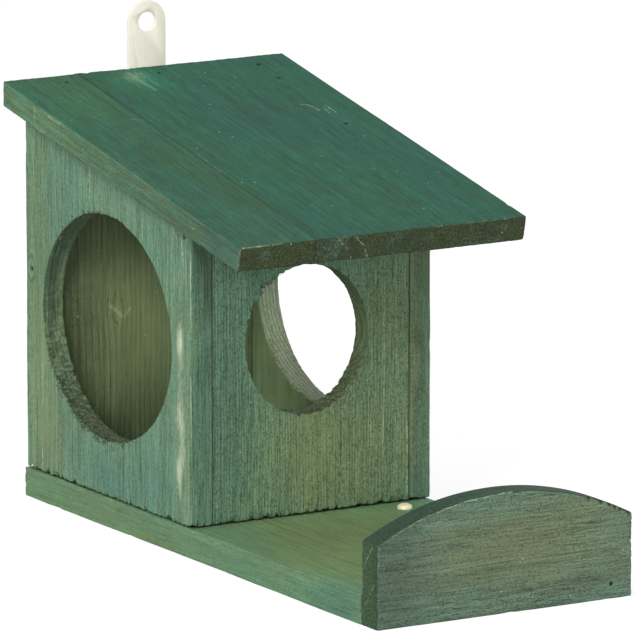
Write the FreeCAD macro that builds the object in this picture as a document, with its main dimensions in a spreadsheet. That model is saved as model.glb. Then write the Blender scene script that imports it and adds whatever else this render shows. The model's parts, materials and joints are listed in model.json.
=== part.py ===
# Squirrel feeder: a little nailed timber house on a long floor board.
#
# A floor board carries two side walls with a big rounded window each, a front wall with a
# rounded entrance, and a plain back wall. A sloping roof, glued up from two staves, is nailed
# on and hangs far out over the feeding place, which a front rail with an arched top closes.
# A steel strap on the back hangs the house from one nail.
#
# Lengths are in millimetres. +Z is up, the front looks along -Y, and the origin is the middle
# of the floor board's underside, straight below the outer face of the front wall.

import FreeCAD, Part
import Sketcher
import math
import os

# Driving sizes: alias, value and meaning

SIZES = [
    ("house_width", 100.0, "over both side walls, and the floor board"),
    ("house_depth", 120.8, "front face of the front wall to back face of the back wall"),
    ("front_height", 112.3, "floor to the roof's underside at the front face"),
    ("back_height", 136.0, "floor to the roof's underside at the back face"),
    ("wall_thickness", 8.8, "all four walls"),
    ("joint_gap", 0.2, "front and back wall to each side wall"),
    ("arris", 0.6, "softened edges of every board"),
    ("floor_thickness", 10.9, "floor board"),
    ("floor_apron", 117.6, "floor board in front of the house"),
    ("floor_lip", 2.0, "floor board behind the house"),
    ("roof_thickness", 9.2, "roof board"),
    ("roof_width", 118.2, "roof board, across the slope"),
    ("roof_overhang", 49.8, "roof board in front of the house, along the slope"),
    ("left_stave_width", 31.1, "the narrower of the two glued staves"),
    ("rail_length", 104.2, "front rail"),
    ("rail_thickness", 10.6, "front rail"),
    ("rail_end_height", 30.1, "front rail at its ends"),
    ("rail_peak_height", 43.2, "front rail at the top of its arch"),
    ("rail_shift", 2.4, "middle of the rail, right of the middle of the floor"),
    ("entrance_width", 50.7, "rounded entrance in the front wall"),
    ("entrance_stretch", 3.5, "how much taller than wide it is"),
    ("entrance_height", 64.6, "its centre above the floor"),
    ("entrance_shift", -1.9, "its centre, right of the middle"),
    ("left_window_rise", 82.8, "rounded window in the left wall, bottom to top"),
    ("left_window_stretch", 11.6, "how much wider than tall it is"),
    ("left_window_height", 62.9, "its centre above the floor"),
    ("left_window_setback", 61.0, "its centre behind the front face"),
    ("right_window_rise", 77.3, "rounded window in the right wall, bottom to top"),
    ("right_window_stretch", 9.3, "how much wider than tall it is"),
    ("right_window_height", 62.8, "its centre above the floor"),
    ("right_window_setback", 65.4, "its centre behind the front face"),
    ("strap_width", 15.8, "hanging strap"),
    ("strap_length", 70.0, "hanging strap, over both round ends"),
    ("strap_thickness", 1.2, "hanging strap"),
    ("strap_rise", 16.7, "hanging hole above the top of the roof's back edge"),
    ("strap_shift", 1.5, "strap, right of the middle"),
    ("strap_burr", 0.2, "bevel along the strap's edges"),
    ("hanging_hole_diameter", 7.2, "hole for the nail that carries the house"),
    ("strap_screw_pitch", 10.0, "between the strap's two screws"),
    ("strap_screw_play", 0.2, "screw shank in the strap's hole, on the radius"),
    ("screw_shank_diameter", 3.0, "round-head wood screws"),
    ("screw_head_diameter", 5.6, "round-head wood screws"),
    ("screw_head_height", 1.9, "round-head wood screws"),
    ("screw_point", 2.0, "length of a screw's point"),
    ("strap_screw_length", 8.0, "under the head"),
    ("floor_screw_length", 9.0, "under the head"),
    ("floor_screw_setback", 9.4, "screw in the floor, before the front face"),
    ("floor_screw_shift", 33.6, "screw in the floor, right of the middle"),
    ("nail_thickness", 1.1, "flat-wire brads, shank and head"),
    ("nail_width", 1.4, "flat-wire brads, their shank"),
    ("nail_head_width", 2.3, "flat-wire brads, their T-head"),
    ("nail_head_height", 0.7, "flat-wire brads, their T-head"),
    ("nail_length", 20.0, "flat-wire brads, over the head"),
    ("nail_point", 0.45, "flat-wire brads, bevel at the tip"),
    ("nail_sink", 0.6, "head below the face of the wood"),
    ("pilot_play", 0.05, "nail or screw in its hole, each side"),
    ("pilot_spare", 0.5, "hole beyond the tip of a nail or screw"),
    ("front_joint_nail_start", 19.0, "lowest nail into the front wall, above the floor"),
    ("front_joint_nail_top", 6.6, "highest nail into the front wall, below the roof at the front face"),
    ("back_joint_nail_start", 37.5, "lowest nail into the back wall, above the floor"),
    ("back_joint_nail_top", 22.5, "highest nail into the back wall, below the roof at the back face"),
    ("roof_back_nail_setback", 5.6, "from the underside's back edge, along the slope"),
    ("roof_back_nail_inset", 13.8, "nail in the narrow stave, from the outer face of the left wall"),
    ("roof_back_nail_right", 2.5, "nail in the wide stave, right of the middle"),
    ("roof_side_nail_inset", 6.2, "from the outer face of the right wall"),
    ("roof_side_nail_front", 51.5, "behind the front face, along the slope"),
    ("roof_side_nail_middle", 22.3, "from the underside's back edge, along the slope"),
    ("roof_side_nail_back", 7.2, "from the underside's back edge, along the slope"),
    ("floor_side_nail_inset", 20.0, "from the front and the back face, into a side wall"),
    ("floor_cross_nail_shift", 20.0, "each side of the middle, into front and back wall"),
    ("rail_nail_inset", 4.0, "outer nails of the rail, from the sides of the floor board"),
]

NAILS_PER_JOINT = 3

doc = FreeCAD.newDocument("SquirrelFeeder")

sheet = doc.addObject("Spreadsheet::Sheet", "Sizes")
for row, (alias, value, meaning) in enumerate(SIZES, start=1):
    sheet.set("A%d" % row, alias)
    sheet.set("B%d" % row, str(value))
    sheet.set("C%d" % row, meaning)
    sheet.setAlias("B%d" % row, alias)
doc.recompute()

# Sizes that follow from the driving ones, as expressions

HOUSE_WIDTH = "Sizes.house_width"
HOUSE_DEPTH = "Sizes.house_depth"
FRONT_HEIGHT = "Sizes.front_height"
BACK_HEIGHT = "Sizes.back_height"
WALL = "Sizes.wall_thickness"
FLOOR = "Sizes.floor_thickness"
ROOF = "Sizes.roof_thickness"
SLOPE = "((Sizes.back_height - Sizes.front_height) / Sizes.house_depth)"
PITCH = "atan(%s)" % SLOPE
INNER_WIDTH = "(Sizes.house_width - 2 * Sizes.wall_thickness - 2 * Sizes.joint_gap)"
ROOF_RUN = "(Sizes.house_depth / cos(%s))" % PITCH
RAIL_RISE = "(Sizes.rail_peak_height - Sizes.rail_end_height)"
ARCH_RADIUS = "(((Sizes.rail_length / 2) ^ 2 + %s ^ 2) / (2 * %s))" % (RAIL_RISE, RAIL_RISE)
HANGING_HEIGHT = "(%s + %s + %s / cos(%s) + Sizes.strap_rise)" % (FLOOR, BACK_HEIGHT, ROOF, PITCH)
STRAP_SPAN = "(Sizes.strap_length - Sizes.strap_width)"
NAIL_HOLE = ("Sizes.nail_thickness + 2 * Sizes.pilot_play", "Sizes.nail_width + 2 * Sizes.pilot_play")
NAIL_PIT = ("Sizes.nail_thickness + 2 * Sizes.pilot_play", "Sizes.nail_head_width + 2 * Sizes.pilot_play")
SCREW_HOLE = "(Sizes.screw_shank_diameter + 2 * Sizes.pilot_play)"
NAIL_REACH = "(Sizes.nail_sink + Sizes.nail_length + Sizes.pilot_spare)"


# Sketches and features that the pieces share

def plane(body, role):
    """The body's own origin plane with this role."""
    for feature in body.Origin.OriginFeatures:
        if feature.Role == role:
            return feature
    raise ValueError("no plane " + role)


def new_body(label, base, tilt=None):
    """A body placed in the house: base is three expressions, tilt turns it about X."""
    body = doc.addObject("PartDesign::Body", label)
    body.Label = label
    body.Placement = FreeCAD.Placement(FreeCAD.Vector(), FreeCAD.Rotation(FreeCAD.Vector(1, 0, 0), 10))
    body.setExpression("Placement.Rotation.Angle", tilt or "0")
    for axis, value in zip("xyz", base):
        body.setExpression("Placement.Base." + axis, value)
    return body


def new_sketch(body, name, role, shift=("0", "0", "0"), tilt=None):
    """A sketch on an origin plane, shifted in the sketch's own axes and turned about its X."""
    sketch = body.newObject("Sketcher::SketchObject", name)
    sketch.AttachmentSupport = [(plane(body, role), "")]
    sketch.MapMode = "FlatFace"
    sketch.AttachmentOffset = FreeCAD.Placement(
        FreeCAD.Vector(), FreeCAD.Rotation(FreeCAD.Vector(1, 0, 0), 10))
    sketch.setExpression("AttachmentOffset.Rotation.Angle", tilt or "0")
    for axis, value in zip("xyz", shift):
        sketch.setExpression("AttachmentOffset.Base." + axis, value)
    return sketch


def plain(kind, *places):
    """A constraint with no size."""
    return (Sketcher.Constraint(kind, *places), None)


def sized(kind, places, drawn, name, value):
    """A constraint that an expression drives: drawn is its size in the sketch as first drawn."""
    constraint = Sketcher.Constraint(kind, *places, drawn)
    constraint.Name = name
    return (constraint, value)


def hold(sketch, constraints):
    """Add the constraints all at once, then bind the ones that have an expression."""
    sketch.addConstraint([constraint for constraint, value in constraints])
    for constraint, value in constraints:
        if value:
            sketch.setExpression("Constraints." + constraint.Name, value)


def point_at(sketch, shape, end, across, up, name):
    """Constraints that hold one point of a sketch at two expressions from its origin."""
    drawn = sketch.getPoint(shape, end)
    if across == "0" and up == "0":
        return [plain("Coincident", shape, end, -1, 1)]
    if across == "0":
        first = plain("PointOnObject", shape, end, -2)
    else:
        first = sized("DistanceX", (-1, 1, shape, end), drawn.x, name + "_across", across)
    if up == "0":
        second = plain("PointOnObject", shape, end, -1)
    else:
        second = sized("DistanceY", (-1, 1, shape, end), drawn.y, name + "_up", up)
    return [first, second]


def outline(sketch, corners):
    """Draw a closed outline of straight lines, and return what holds its corners."""
    count = len(corners)
    start = []
    for index in range(count):
        angle = 2 * math.pi * index / count
        start.append(FreeCAD.Vector(50 * math.cos(angle), 50 * math.sin(angle), 0))
    lines = []
    for index in range(count):
        line = Part.LineSegment(start[index], start[(index + 1) % count])
        lines.append(sketch.addGeometry(line, False))
    constraints = []
    for index, (across, up) in enumerate(corners):
        following = lines[(index + 1) % count]
        constraints.append(plain("Coincident", lines[index], 2, following, 1))
        constraints += point_at(sketch, lines[index], 1, across, up, "corner%d" % index)
    return constraints


def draw_sections(sketch, centres, section):
    """Rectangles at centres given as expressions: section is their two sides, across and up."""
    width, height = section
    constraints = []
    for index, (across, up) in enumerate(centres):
        left = 10 * index
        points = [FreeCAD.Vector(left, 5, 0), FreeCAD.Vector(left + 1, 5, 0),
                  FreeCAD.Vector(left + 1, 6, 0), FreeCAD.Vector(left, 6, 0)]
        sides = []
        for corner in range(4):
            line = Part.LineSegment(points[corner], points[(corner + 1) % 4])
            sides.append(sketch.addGeometry(line, False))
        for corner, kind in enumerate(("Horizontal", "Vertical", "Horizontal", "Vertical")):
            constraints.append(plain("Coincident", sides[corner], 2, sides[(corner + 1) % 4], 1))
            constraints.append(plain(kind, sides[corner]))
        corner_across = "%s - (%s) / 2" % (across, width)
        corner_up = "%s - (%s) / 2" % (up, height)
        constraints += point_at(sketch, sides[0], 1, corner_across, corner_up, "section%d" % index)
        constraints.append(sized("DistanceX", (sides[0], 1, sides[0], 2), 1.0, "width%d" % index, width))
        constraints.append(sized("DistanceY", (sides[1], 1, sides[1], 2), 1.0, "height%d" % index, height))
    hold(sketch, constraints)


def draw_circles(sketch, centres, diameter):
    """Circles of one diameter at centres given as expressions."""
    constraints = []
    for index, (across, up) in enumerate(centres):
        circle = Part.Circle(FreeCAD.Vector(10 * index + 5, 5, 0), FreeCAD.Vector(0, 0, 1), 1)
        shape = sketch.addGeometry(circle, False)
        constraints += point_at(sketch, shape, 3, across, up, "centre%d" % index)
        constraints.append(sized("Diameter", (shape,), 2.0, "diameter%d" % index, diameter))
    hold(sketch, constraints)


def draw_oval(sketch, centre, narrow, stretch, upright):
    """An oval that is longer by the stretch than it is narrow, standing upright or lying flat."""
    middle = FreeCAD.Vector(60, 60, 0)
    long_end, short_end = FreeCAD.Vector(45, 0, 0), FreeCAD.Vector(0, 40, 0)
    if upright:
        long_end, short_end = FreeCAD.Vector(0, 45, 0), FreeCAD.Vector(-40, 0, 0)
    oval = sketch.addGeometry(Part.Ellipse(middle + long_end, middle + short_end, middle), False)
    sketch.exposeInternalGeometry(oval)
    long_axis, short_axis = oval + 1, oval + 2
    constraints = point_at(sketch, oval, 3, centre[0], centre[1], "centre")
    constraints.append(plain("Vertical" if upright else "Horizontal", long_axis))
    constraints.append(sized("Distance", (long_axis,), 90.0, "long_axis", "%s + %s" % (narrow, stretch)))
    constraints.append(sized("Distance", (short_axis,), 80.0, "short_axis", narrow))
    hold(sketch, constraints)


def pad(body, name, sketch, length, reverse=False):
    feature = body.newObject("PartDesign::Pad", name)
    feature.Profile = sketch
    feature.Reversed = reverse
    feature.setExpression("Length", length)
    doc.recompute()
    return feature


def soften(body, size, wanted=lambda edge: True):
    """Take the sharpness off the wanted edges of what the body is so far."""
    feature_before = body.Tip
    names = []
    for index, edge in enumerate(feature_before.Shape.Edges, start=1):
        if wanted(edge):
            names.append("Edge%d" % index)
    chamfer = body.newObject("PartDesign::Chamfer", body.Label + "_arris")
    chamfer.Base = (feature_before, names)
    chamfer.setExpression("Size", size)
    doc.recompute()


def pocket(body, name, sketch, depth, along):
    """Cut a sketch into the body. along is +1 or -1, with or against the sketch's normal."""
    volume_before = body.Shape.Volume
    feature = body.newObject("PartDesign::Pocket", name)
    feature.Profile = sketch
    feature.Reversed = along > 0
    feature.setExpression("Length", depth)
    doc.recompute()
    if body.Shape.Volume >= volume_before:
        raise ValueError("the pocket %s cuts nothing" % name)


def drill(body, name, role, centres, size, depth, along, shift=("0", "0", "0"), tilt=None):
    """Holes into the body, round for a diameter or square-cornered for a section's two sides."""
    sketch = new_sketch(body, name + "_layout", role, shift, tilt)
    if isinstance(size, tuple):
        draw_sections(sketch, centres, size)
    else:
        draw_circles(sketch, centres, size)
    pocket(body, name, sketch, depth, along)


def cut_opening(body, name, role, centre, narrow, upright, along):
    """A rounded opening through a wall."""
    sketch = new_sketch(body, name + "_layout", role)
    draw_oval(sketch, centre, narrow, "Sizes.%s_stretch" % name, upright)
    pocket(body, name, sketch, WALL, along)


def drill_for_nails(body, name, role, centres, along, face="0", shift=("0", "0"), tilt=None):
    """The pit for each head and the hole for each shank, through a board nailed from a face."""
    plane_shift = (shift[0], shift[1], face)
    drill(body, name + "_pits", role, centres, NAIL_PIT,
          "Sizes.nail_sink + Sizes.nail_head_height", along, plane_shift, tilt)
    drill(body, name + "_holes", role, centres, NAIL_HOLE, NAIL_REACH, along, plane_shift, tilt)


def nails(label, base, role, centres, along, face, tilt=None):
    """A row of flat-wire brads: shanks with bevelled tips, and T-heads, sunk below the face."""
    body = new_body(label, base, tilt)
    if along > 0:
        seat = "%s + Sizes.nail_sink" % face
    else:
        seat = "%s - Sizes.nail_sink" % face
    shank_sketch = new_sketch(body, label + "_shank_layout", role, ("0", "0", seat))
    draw_sections(shank_sketch, centres, ("Sizes.nail_thickness", "Sizes.nail_width"))
    shanks = pad(body, label + "_shanks", shank_sketch, "Sizes.nail_length", along < 0)
    seat_plane = shank_sketch.Placement.inverse()
    tips = []
    for index, edge in enumerate(shanks.Shape.Edges, start=1):
        ends = [abs(seat_plane.multVec(vertex.Point).z) for vertex in edge.Vertexes]
        if min(ends) > 1:
            tips.append("Edge%d" % index)
    points = body.newObject("PartDesign::Chamfer", label + "_points")
    points.Base = (shanks, tips)
    points.setExpression("Size", "Sizes.nail_point")
    doc.recompute()
    head_sketch = new_sketch(body, label + "_head_layout", role, ("0", "0", seat))
    draw_sections(head_sketch, centres, ("Sizes.nail_thickness", "Sizes.nail_head_width"))
    pad(body, label + "_heads", head_sketch, "Sizes.nail_head_height", along < 0)


def board(label, corners, start, width, base, tilt=None):
    """A board whose outline is drawn seen from its side, front to the left."""
    body = new_body(label, base, tilt)
    sketch = new_sketch(body, label + "_outline", "YZ_Plane", ("0", "0", start))
    hold(sketch, outline(sketch, corners))
    pad(body, label + "_timber", sketch, width)
    return body


def screw(label, length, base, tilt):
    """A round-head wood screw, its head resting on the origin and its shank pointing down."""
    body = new_body(label, base, tilt)
    sketch = new_sketch(body, label + "_profile", "XZ_Plane")
    corners = [
        ("0", "-%s" % length),
        ("Sizes.screw_shank_diameter / 2", "Sizes.screw_point - %s" % length),
        ("Sizes.screw_shank_diameter / 2", "0"),
        ("Sizes.screw_head_diameter / 2", "0"),
        ("0", "Sizes.screw_head_height"),
    ]
    start = [(0, -8), (1.5, -6), (1.5, 0), (2.8, 0), (0, 1.9)]
    points = [FreeCAD.Vector(across, up, 0) for across, up in start]
    lines = []
    for first, second in ((0, 1), (1, 2), (2, 3)):
        lines.append(sketch.addGeometry(Part.LineSegment(points[first], points[second]), False))
    centre = FreeCAD.Vector(0, -1.1, 0)
    dome_circle = Part.Circle(centre, FreeCAD.Vector(0, 0, 1), 3.0)
    dome = sketch.addGeometry(Part.ArcOfCircle(dome_circle, math.radians(22), math.radians(90)), False)
    axis = sketch.addGeometry(Part.LineSegment(points[4], points[0]), False)
    constraints = [plain("PointOnObject", dome, 3, -2)]
    for joint in ((lines[0], 2, lines[1], 1), (lines[1], 2, lines[2], 1), (lines[2], 2, dome, 1),
                  (dome, 2, axis, 1), (axis, 2, lines[0], 1)):
        constraints.append(plain("Coincident", *joint))
    for index, line in enumerate(lines):
        constraints += point_at(sketch, line, 1, corners[index][0], corners[index][1], "corner%d" % index)
    constraints += point_at(sketch, lines[2], 2, corners[3][0], corners[3][1], "rim")
    constraints += point_at(sketch, axis, 1, corners[4][0], corners[4][1], "crown")
    hold(sketch, constraints)
    turned = body.newObject("PartDesign::Revolution", label + "_turned")
    turned.Profile = sketch
    turned.ReferenceAxis = (sketch, ["V_Axis"])
    turned.Angle = 360
    doc.recompute()


def row_up_a_wall(start, top, wall_height):
    """Heights of the nails up a joint, evenly from the start to the top one below the roof."""
    pitch = "(%s - %s - %s) / %d" % (wall_height, start, top, NAILS_PER_JOINT - 1)
    heights = []
    for index in range(NAILS_PER_JOINT):
        heights.append("%s + %d * %s" % (start, index, pitch))
    return heights


FRONT_JOINT_HEIGHTS = row_up_a_wall(
    "Sizes.front_joint_nail_start", "Sizes.front_joint_nail_top", FRONT_HEIGHT)
BACK_JOINT_HEIGHTS = row_up_a_wall(
    "Sizes.back_joint_nail_start", "Sizes.back_joint_nail_top", BACK_HEIGHT)
FRONT_JOINT_LINE = "%s / 2" % WALL
BACK_JOINT_LINE = "%s - %s / 2" % (HOUSE_DEPTH, WALL)
FRONT_JOINT = [(FRONT_JOINT_LINE, height) for height in FRONT_JOINT_HEIGHTS]
BACK_JOINT = [(BACK_JOINT_LINE, height) for height in BACK_JOINT_HEIGHTS]
CROSS_REACH = "(%s - %s - Sizes.joint_gap)" % (NAIL_REACH, WALL)
FLOOR_REACH = "(%s - %s)" % (NAIL_REACH, FLOOR)
ROOF_REACH = "(%s - %s)" % (NAIL_REACH, ROOF)
RAIL_REACH = "(%s - Sizes.rail_thickness)" % NAIL_REACH

LEFT_FACE = "-%s / 2" % HOUSE_WIDTH
RIGHT_INNER_FACE = "%s / 2 - %s" % (HOUSE_WIDTH, WALL)
FLOOR_BASE = ("0", "-Sizes.floor_apron", "0")
LEFT_BASE = (LEFT_FACE, "0", FLOOR)
RIGHT_BASE = (RIGHT_INNER_FACE, "0", FLOOR)
FRONT_BASE = ("0", "0", FLOOR)
BACK_BASE = ("0", "%s - %s" % (HOUSE_DEPTH, WALL), FLOOR)
ROOF_BASE = ("0", "0", "%s + %s" % (FLOOR, FRONT_HEIGHT))
RAIL_BASE = ("Sizes.rail_shift", "-Sizes.floor_apron", "0")
STRAP_BASE = ("Sizes.strap_shift", HOUSE_DEPTH, HANGING_HEIGHT)

ROOF_EDGE = "-Sizes.roof_width / 2"
ROOF_BACK_LINE = "%s - Sizes.roof_back_nail_setback" % ROOF_RUN
ROOF_SIDE_LINE = "%s / 2 - Sizes.roof_side_nail_inset" % HOUSE_WIDTH
ROOF_BACK_NAIL_LEFT = ("Sizes.roof_back_nail_inset - %s / 2" % HOUSE_WIDTH, ROOF_BACK_LINE)
ROOF_BACK_NAIL_RIGHT = ("Sizes.roof_back_nail_right", ROOF_BACK_LINE)
ROOF_SIDE_NAILS = [
    (ROOF_SIDE_LINE, "Sizes.roof_side_nail_front"),
    (ROOF_SIDE_LINE, "%s - Sizes.roof_side_nail_middle" % ROOF_RUN),
    (ROOF_SIDE_LINE, "%s - Sizes.roof_side_nail_back" % ROOF_RUN),
]
SIDE_WALL_LINE = "(%s - %s) / 2" % (HOUSE_WIDTH, WALL)
CROSS_SHIFT = "Sizes.floor_cross_nail_shift"
FLOOR_SIDE_BACK = "%s - Sizes.floor_side_nail_inset" % HOUSE_DEPTH
RAIL_NAIL_SHIFT = "(%s / 2 - Sizes.rail_nail_inset)" % HOUSE_WIDTH
RAIL_NAIL_LINES = ["-" + RAIL_NAIL_SHIFT, "0", RAIL_NAIL_SHIFT]
RAIL_NAILS = [("%s - Sizes.rail_shift" % line, "%s / 2" % FLOOR) for line in RAIL_NAIL_LINES]


def floor_centres(lines_across, lines_back):
    """Nail centres on the floor board, whose own frame starts at the end of the apron."""
    centres = []
    for across in lines_across:
        for back in lines_back:
            centres.append((across, "Sizes.floor_apron + %s" % back))
    return centres


FLOOR_SIDE_NAILS = floor_centres(
    ["-%s" % SIDE_WALL_LINE, SIDE_WALL_LINE],
    ["Sizes.floor_side_nail_inset", FLOOR_SIDE_BACK])
FLOOR_CROSS_NAILS = floor_centres(
    ["-" + CROSS_SHIFT, CROSS_SHIFT],
    [FRONT_JOINT_LINE, BACK_JOINT_LINE])


# Boards

def build_floor_board():
    length = "(Sizes.floor_apron + Sizes.house_depth + Sizes.floor_lip)"
    corners = [("0", "0"), (length, "0"), (length, FLOOR), ("0", FLOOR)]
    body = board("floor_board", corners, LEFT_FACE, HOUSE_WIDTH, FLOOR_BASE)
    soften(body, "Sizes.arris")
    drill_for_nails(body, "floor_nail", "XY_Plane", FLOOR_SIDE_NAILS + FLOOR_CROSS_NAILS, 1)
    rail_centres = [(line, "%s / 2" % FLOOR) for line in RAIL_NAIL_LINES]
    drill(body, "rail_nail_holes", "XZ_Plane", rail_centres, NAIL_HOLE, RAIL_REACH, -1)
    screw_centre = ("Sizes.floor_screw_shift", "Sizes.floor_apron - Sizes.floor_screw_setback")
    drill(body, "screw_hole", "XY_Plane", [screw_centre], SCREW_HOLE,
          "Sizes.floor_screw_length + Sizes.pilot_spare", -1, ("0", "0", FLOOR))


def build_side_wall(label, base, hand):
    """A side wall: hand is "left" or "right", which window it has and where it is nailed from."""
    corners = [("0", "0"), (HOUSE_DEPTH, "0"), (HOUSE_DEPTH, BACK_HEIGHT), ("0", FRONT_HEIGHT)]
    body = board(label, corners, "0", WALL, base)
    soften(body, "Sizes.arris")
    window = ("Sizes.%s_window_setback" % hand, "Sizes.%s_window_height" % hand)
    cut_opening(body, hand + "_window", "YZ_Plane", window, "Sizes.%s_window_rise" % hand, False, 1)
    if hand == "left":
        drill_for_nails(body, "left_joint", "YZ_Plane", FRONT_JOINT + BACK_JOINT, 1)
    else:
        drill_for_nails(body, "right_joint", "YZ_Plane", FRONT_JOINT + BACK_JOINT, -1, WALL)
        roof_centres = []
        for across, back in ROOF_SIDE_NAILS:
            roof_centres.append(("%s - (%s)" % (across, RIGHT_INNER_FACE), back))
        drill(body, "roof_side_holes", "XY_Plane", roof_centres, NAIL_HOLE, ROOF_REACH, -1,
              ("0", "0", FRONT_HEIGHT), PITCH)
    floor_line = [("%s / 2" % WALL, "Sizes.floor_side_nail_inset"),
                  ("%s / 2" % WALL, FLOOR_SIDE_BACK)]
    drill(body, hand + "_floor_holes", "XY_Plane", floor_line, NAIL_HOLE, FLOOR_REACH, 1)


def drill_cross_wall_ends(body, name, line, heights):
    """Blind holes into both ends of the front or back wall, for the side walls' nails."""
    centres = [(line, height) for height in heights]
    half = "%s / 2" % INNER_WIDTH
    drill(body, name + "_left", "YZ_Plane", centres, NAIL_HOLE, CROSS_REACH, 1, ("0", "0", "-" + half))
    drill(body, name + "_right", "YZ_Plane", centres, NAIL_HOLE, CROSS_REACH, -1, ("0", "0", half))
    floor_line = [("-" + CROSS_SHIFT, line), (CROSS_SHIFT, line)]
    drill(body, name + "_floor", "XY_Plane", floor_line, NAIL_HOLE, FLOOR_REACH, 1)


def build_front_wall():
    top = "%s + %s * %s" % (FRONT_HEIGHT, WALL, SLOPE)
    corners = [("0", "0"), (WALL, "0"), (WALL, top), ("0", FRONT_HEIGHT)]
    body = board("front_wall", corners, "-%s / 2" % INNER_WIDTH, INNER_WIDTH, FRONT_BASE)
    soften(body, "Sizes.arris")
    entrance = ("Sizes.entrance_shift", "Sizes.entrance_height")
    cut_opening(body, "entrance", "XZ_Plane", entrance, "Sizes.entrance_width", True, -1)
    drill_cross_wall_ends(body, "front_end", FRONT_JOINT_LINE, FRONT_JOINT_HEIGHTS)


def build_back_wall():
    top = "%s - %s * %s" % (BACK_HEIGHT, WALL, SLOPE)
    corners = [("0", "0"), (WALL, "0"), (WALL, BACK_HEIGHT), ("0", top)]
    body = board("back_wall", corners, "-%s / 2" % INNER_WIDTH, INNER_WIDTH, BACK_BASE)
    soften(body, "Sizes.arris")
    drill_cross_wall_ends(body, "back_end", "%s / 2" % WALL, BACK_JOINT_HEIGHTS)
    roof_plane = ("0", "%s - %s" % (WALL, HOUSE_DEPTH), FRONT_HEIGHT)
    drill(body, "roof_back_holes", "XY_Plane", [ROOF_BACK_NAIL_LEFT, ROOF_BACK_NAIL_RIGHT],
          NAIL_HOLE, ROOF_REACH, -1, roof_plane, PITCH)
    lower = "%s - %s - %s" % (HANGING_HEIGHT, STRAP_SPAN, FLOOR)
    screws = [("Sizes.strap_shift", lower), ("Sizes.strap_shift", lower + " + Sizes.strap_screw_pitch")]
    depth = "Sizes.strap_screw_length - Sizes.strap_thickness + Sizes.pilot_spare"
    drill(body, "strap_screw_holes", "XZ_Plane", screws, SCREW_HOLE, depth, 1, ("0", "0", "-" + WALL))


def build_roof_stave(label, start, width, nail_centres, glued_side):
    """One stave of the roof, lying along the slope: cut square in front, plumb at the back."""
    back = "%s + %s * %s" % (ROOF_RUN, ROOF, SLOPE)
    corners = [("-Sizes.roof_overhang", "0"), (ROOF_RUN, "0"), (back, ROOF), ("-Sizes.roof_overhang", ROOF)]
    body = board(label, corners, start, width, ROOF_BASE, PITCH)
    box = body.Tip.Shape.BoundBox
    glue_line = box.XMax if glued_side == "right" else box.XMin

    def clear_of_glue(edge):
        return all(abs(vertex.X - glue_line) > 0.01 for vertex in edge.Vertexes)

    soften(body, "Sizes.arris", clear_of_glue)
    drill_for_nails(body, label + "_nail", "XY_Plane", nail_centres, -1, ROOF)


def build_front_rail():
    body = new_body("front_rail", RAIL_BASE)
    sketch = new_sketch(body, "front_rail_outline", "XZ_Plane")
    corners = [(-52, 30), (-52, 0), (52, 0), (52, 30)]
    points = [FreeCAD.Vector(across, up, 0) for across, up in corners]
    lines = []
    for index in range(3):
        lines.append(sketch.addGeometry(Part.LineSegment(points[index], points[index + 1]), False))
    circle = Part.Circle(FreeCAD.Vector(0, -67, 0), FreeCAD.Vector(0, 0, 1), 110)
    arch = sketch.addGeometry(Part.ArcOfCircle(circle, math.radians(62), math.radians(118)), False)
    half = "Sizes.rail_length / 2"
    centre_height = "Sizes.rail_peak_height - %s" % ARCH_RADIUS
    constraints = [sized("DistanceY", (-1, 1, arch, 3), -67.0, "arch_centre", centre_height)]
    for joint in ((lines[0], 2, lines[1], 1), (lines[1], 2, lines[2], 1),
                  (lines[2], 2, arch, 1), (arch, 2, lines[0], 1)):
        constraints.append(plain("Coincident", *joint))
    constraints += point_at(sketch, lines[0], 1, "-" + half, "Sizes.rail_end_height", "left_top")
    constraints += point_at(sketch, lines[1], 1, "-" + half, "0", "left_foot")
    constraints += point_at(sketch, lines[2], 1, half, "0", "right_foot")
    constraints += point_at(sketch, lines[2], 2, half, "Sizes.rail_end_height", "right_top")
    hold(sketch, constraints)
    pad(body, "front_rail_timber", sketch, "Sizes.rail_thickness")
    soften(body, "Sizes.arris")
    drill_for_nails(body, "rail_nail", "XZ_Plane", RAIL_NAILS, -1, "Sizes.rail_thickness")


# Ironmongery

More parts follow.
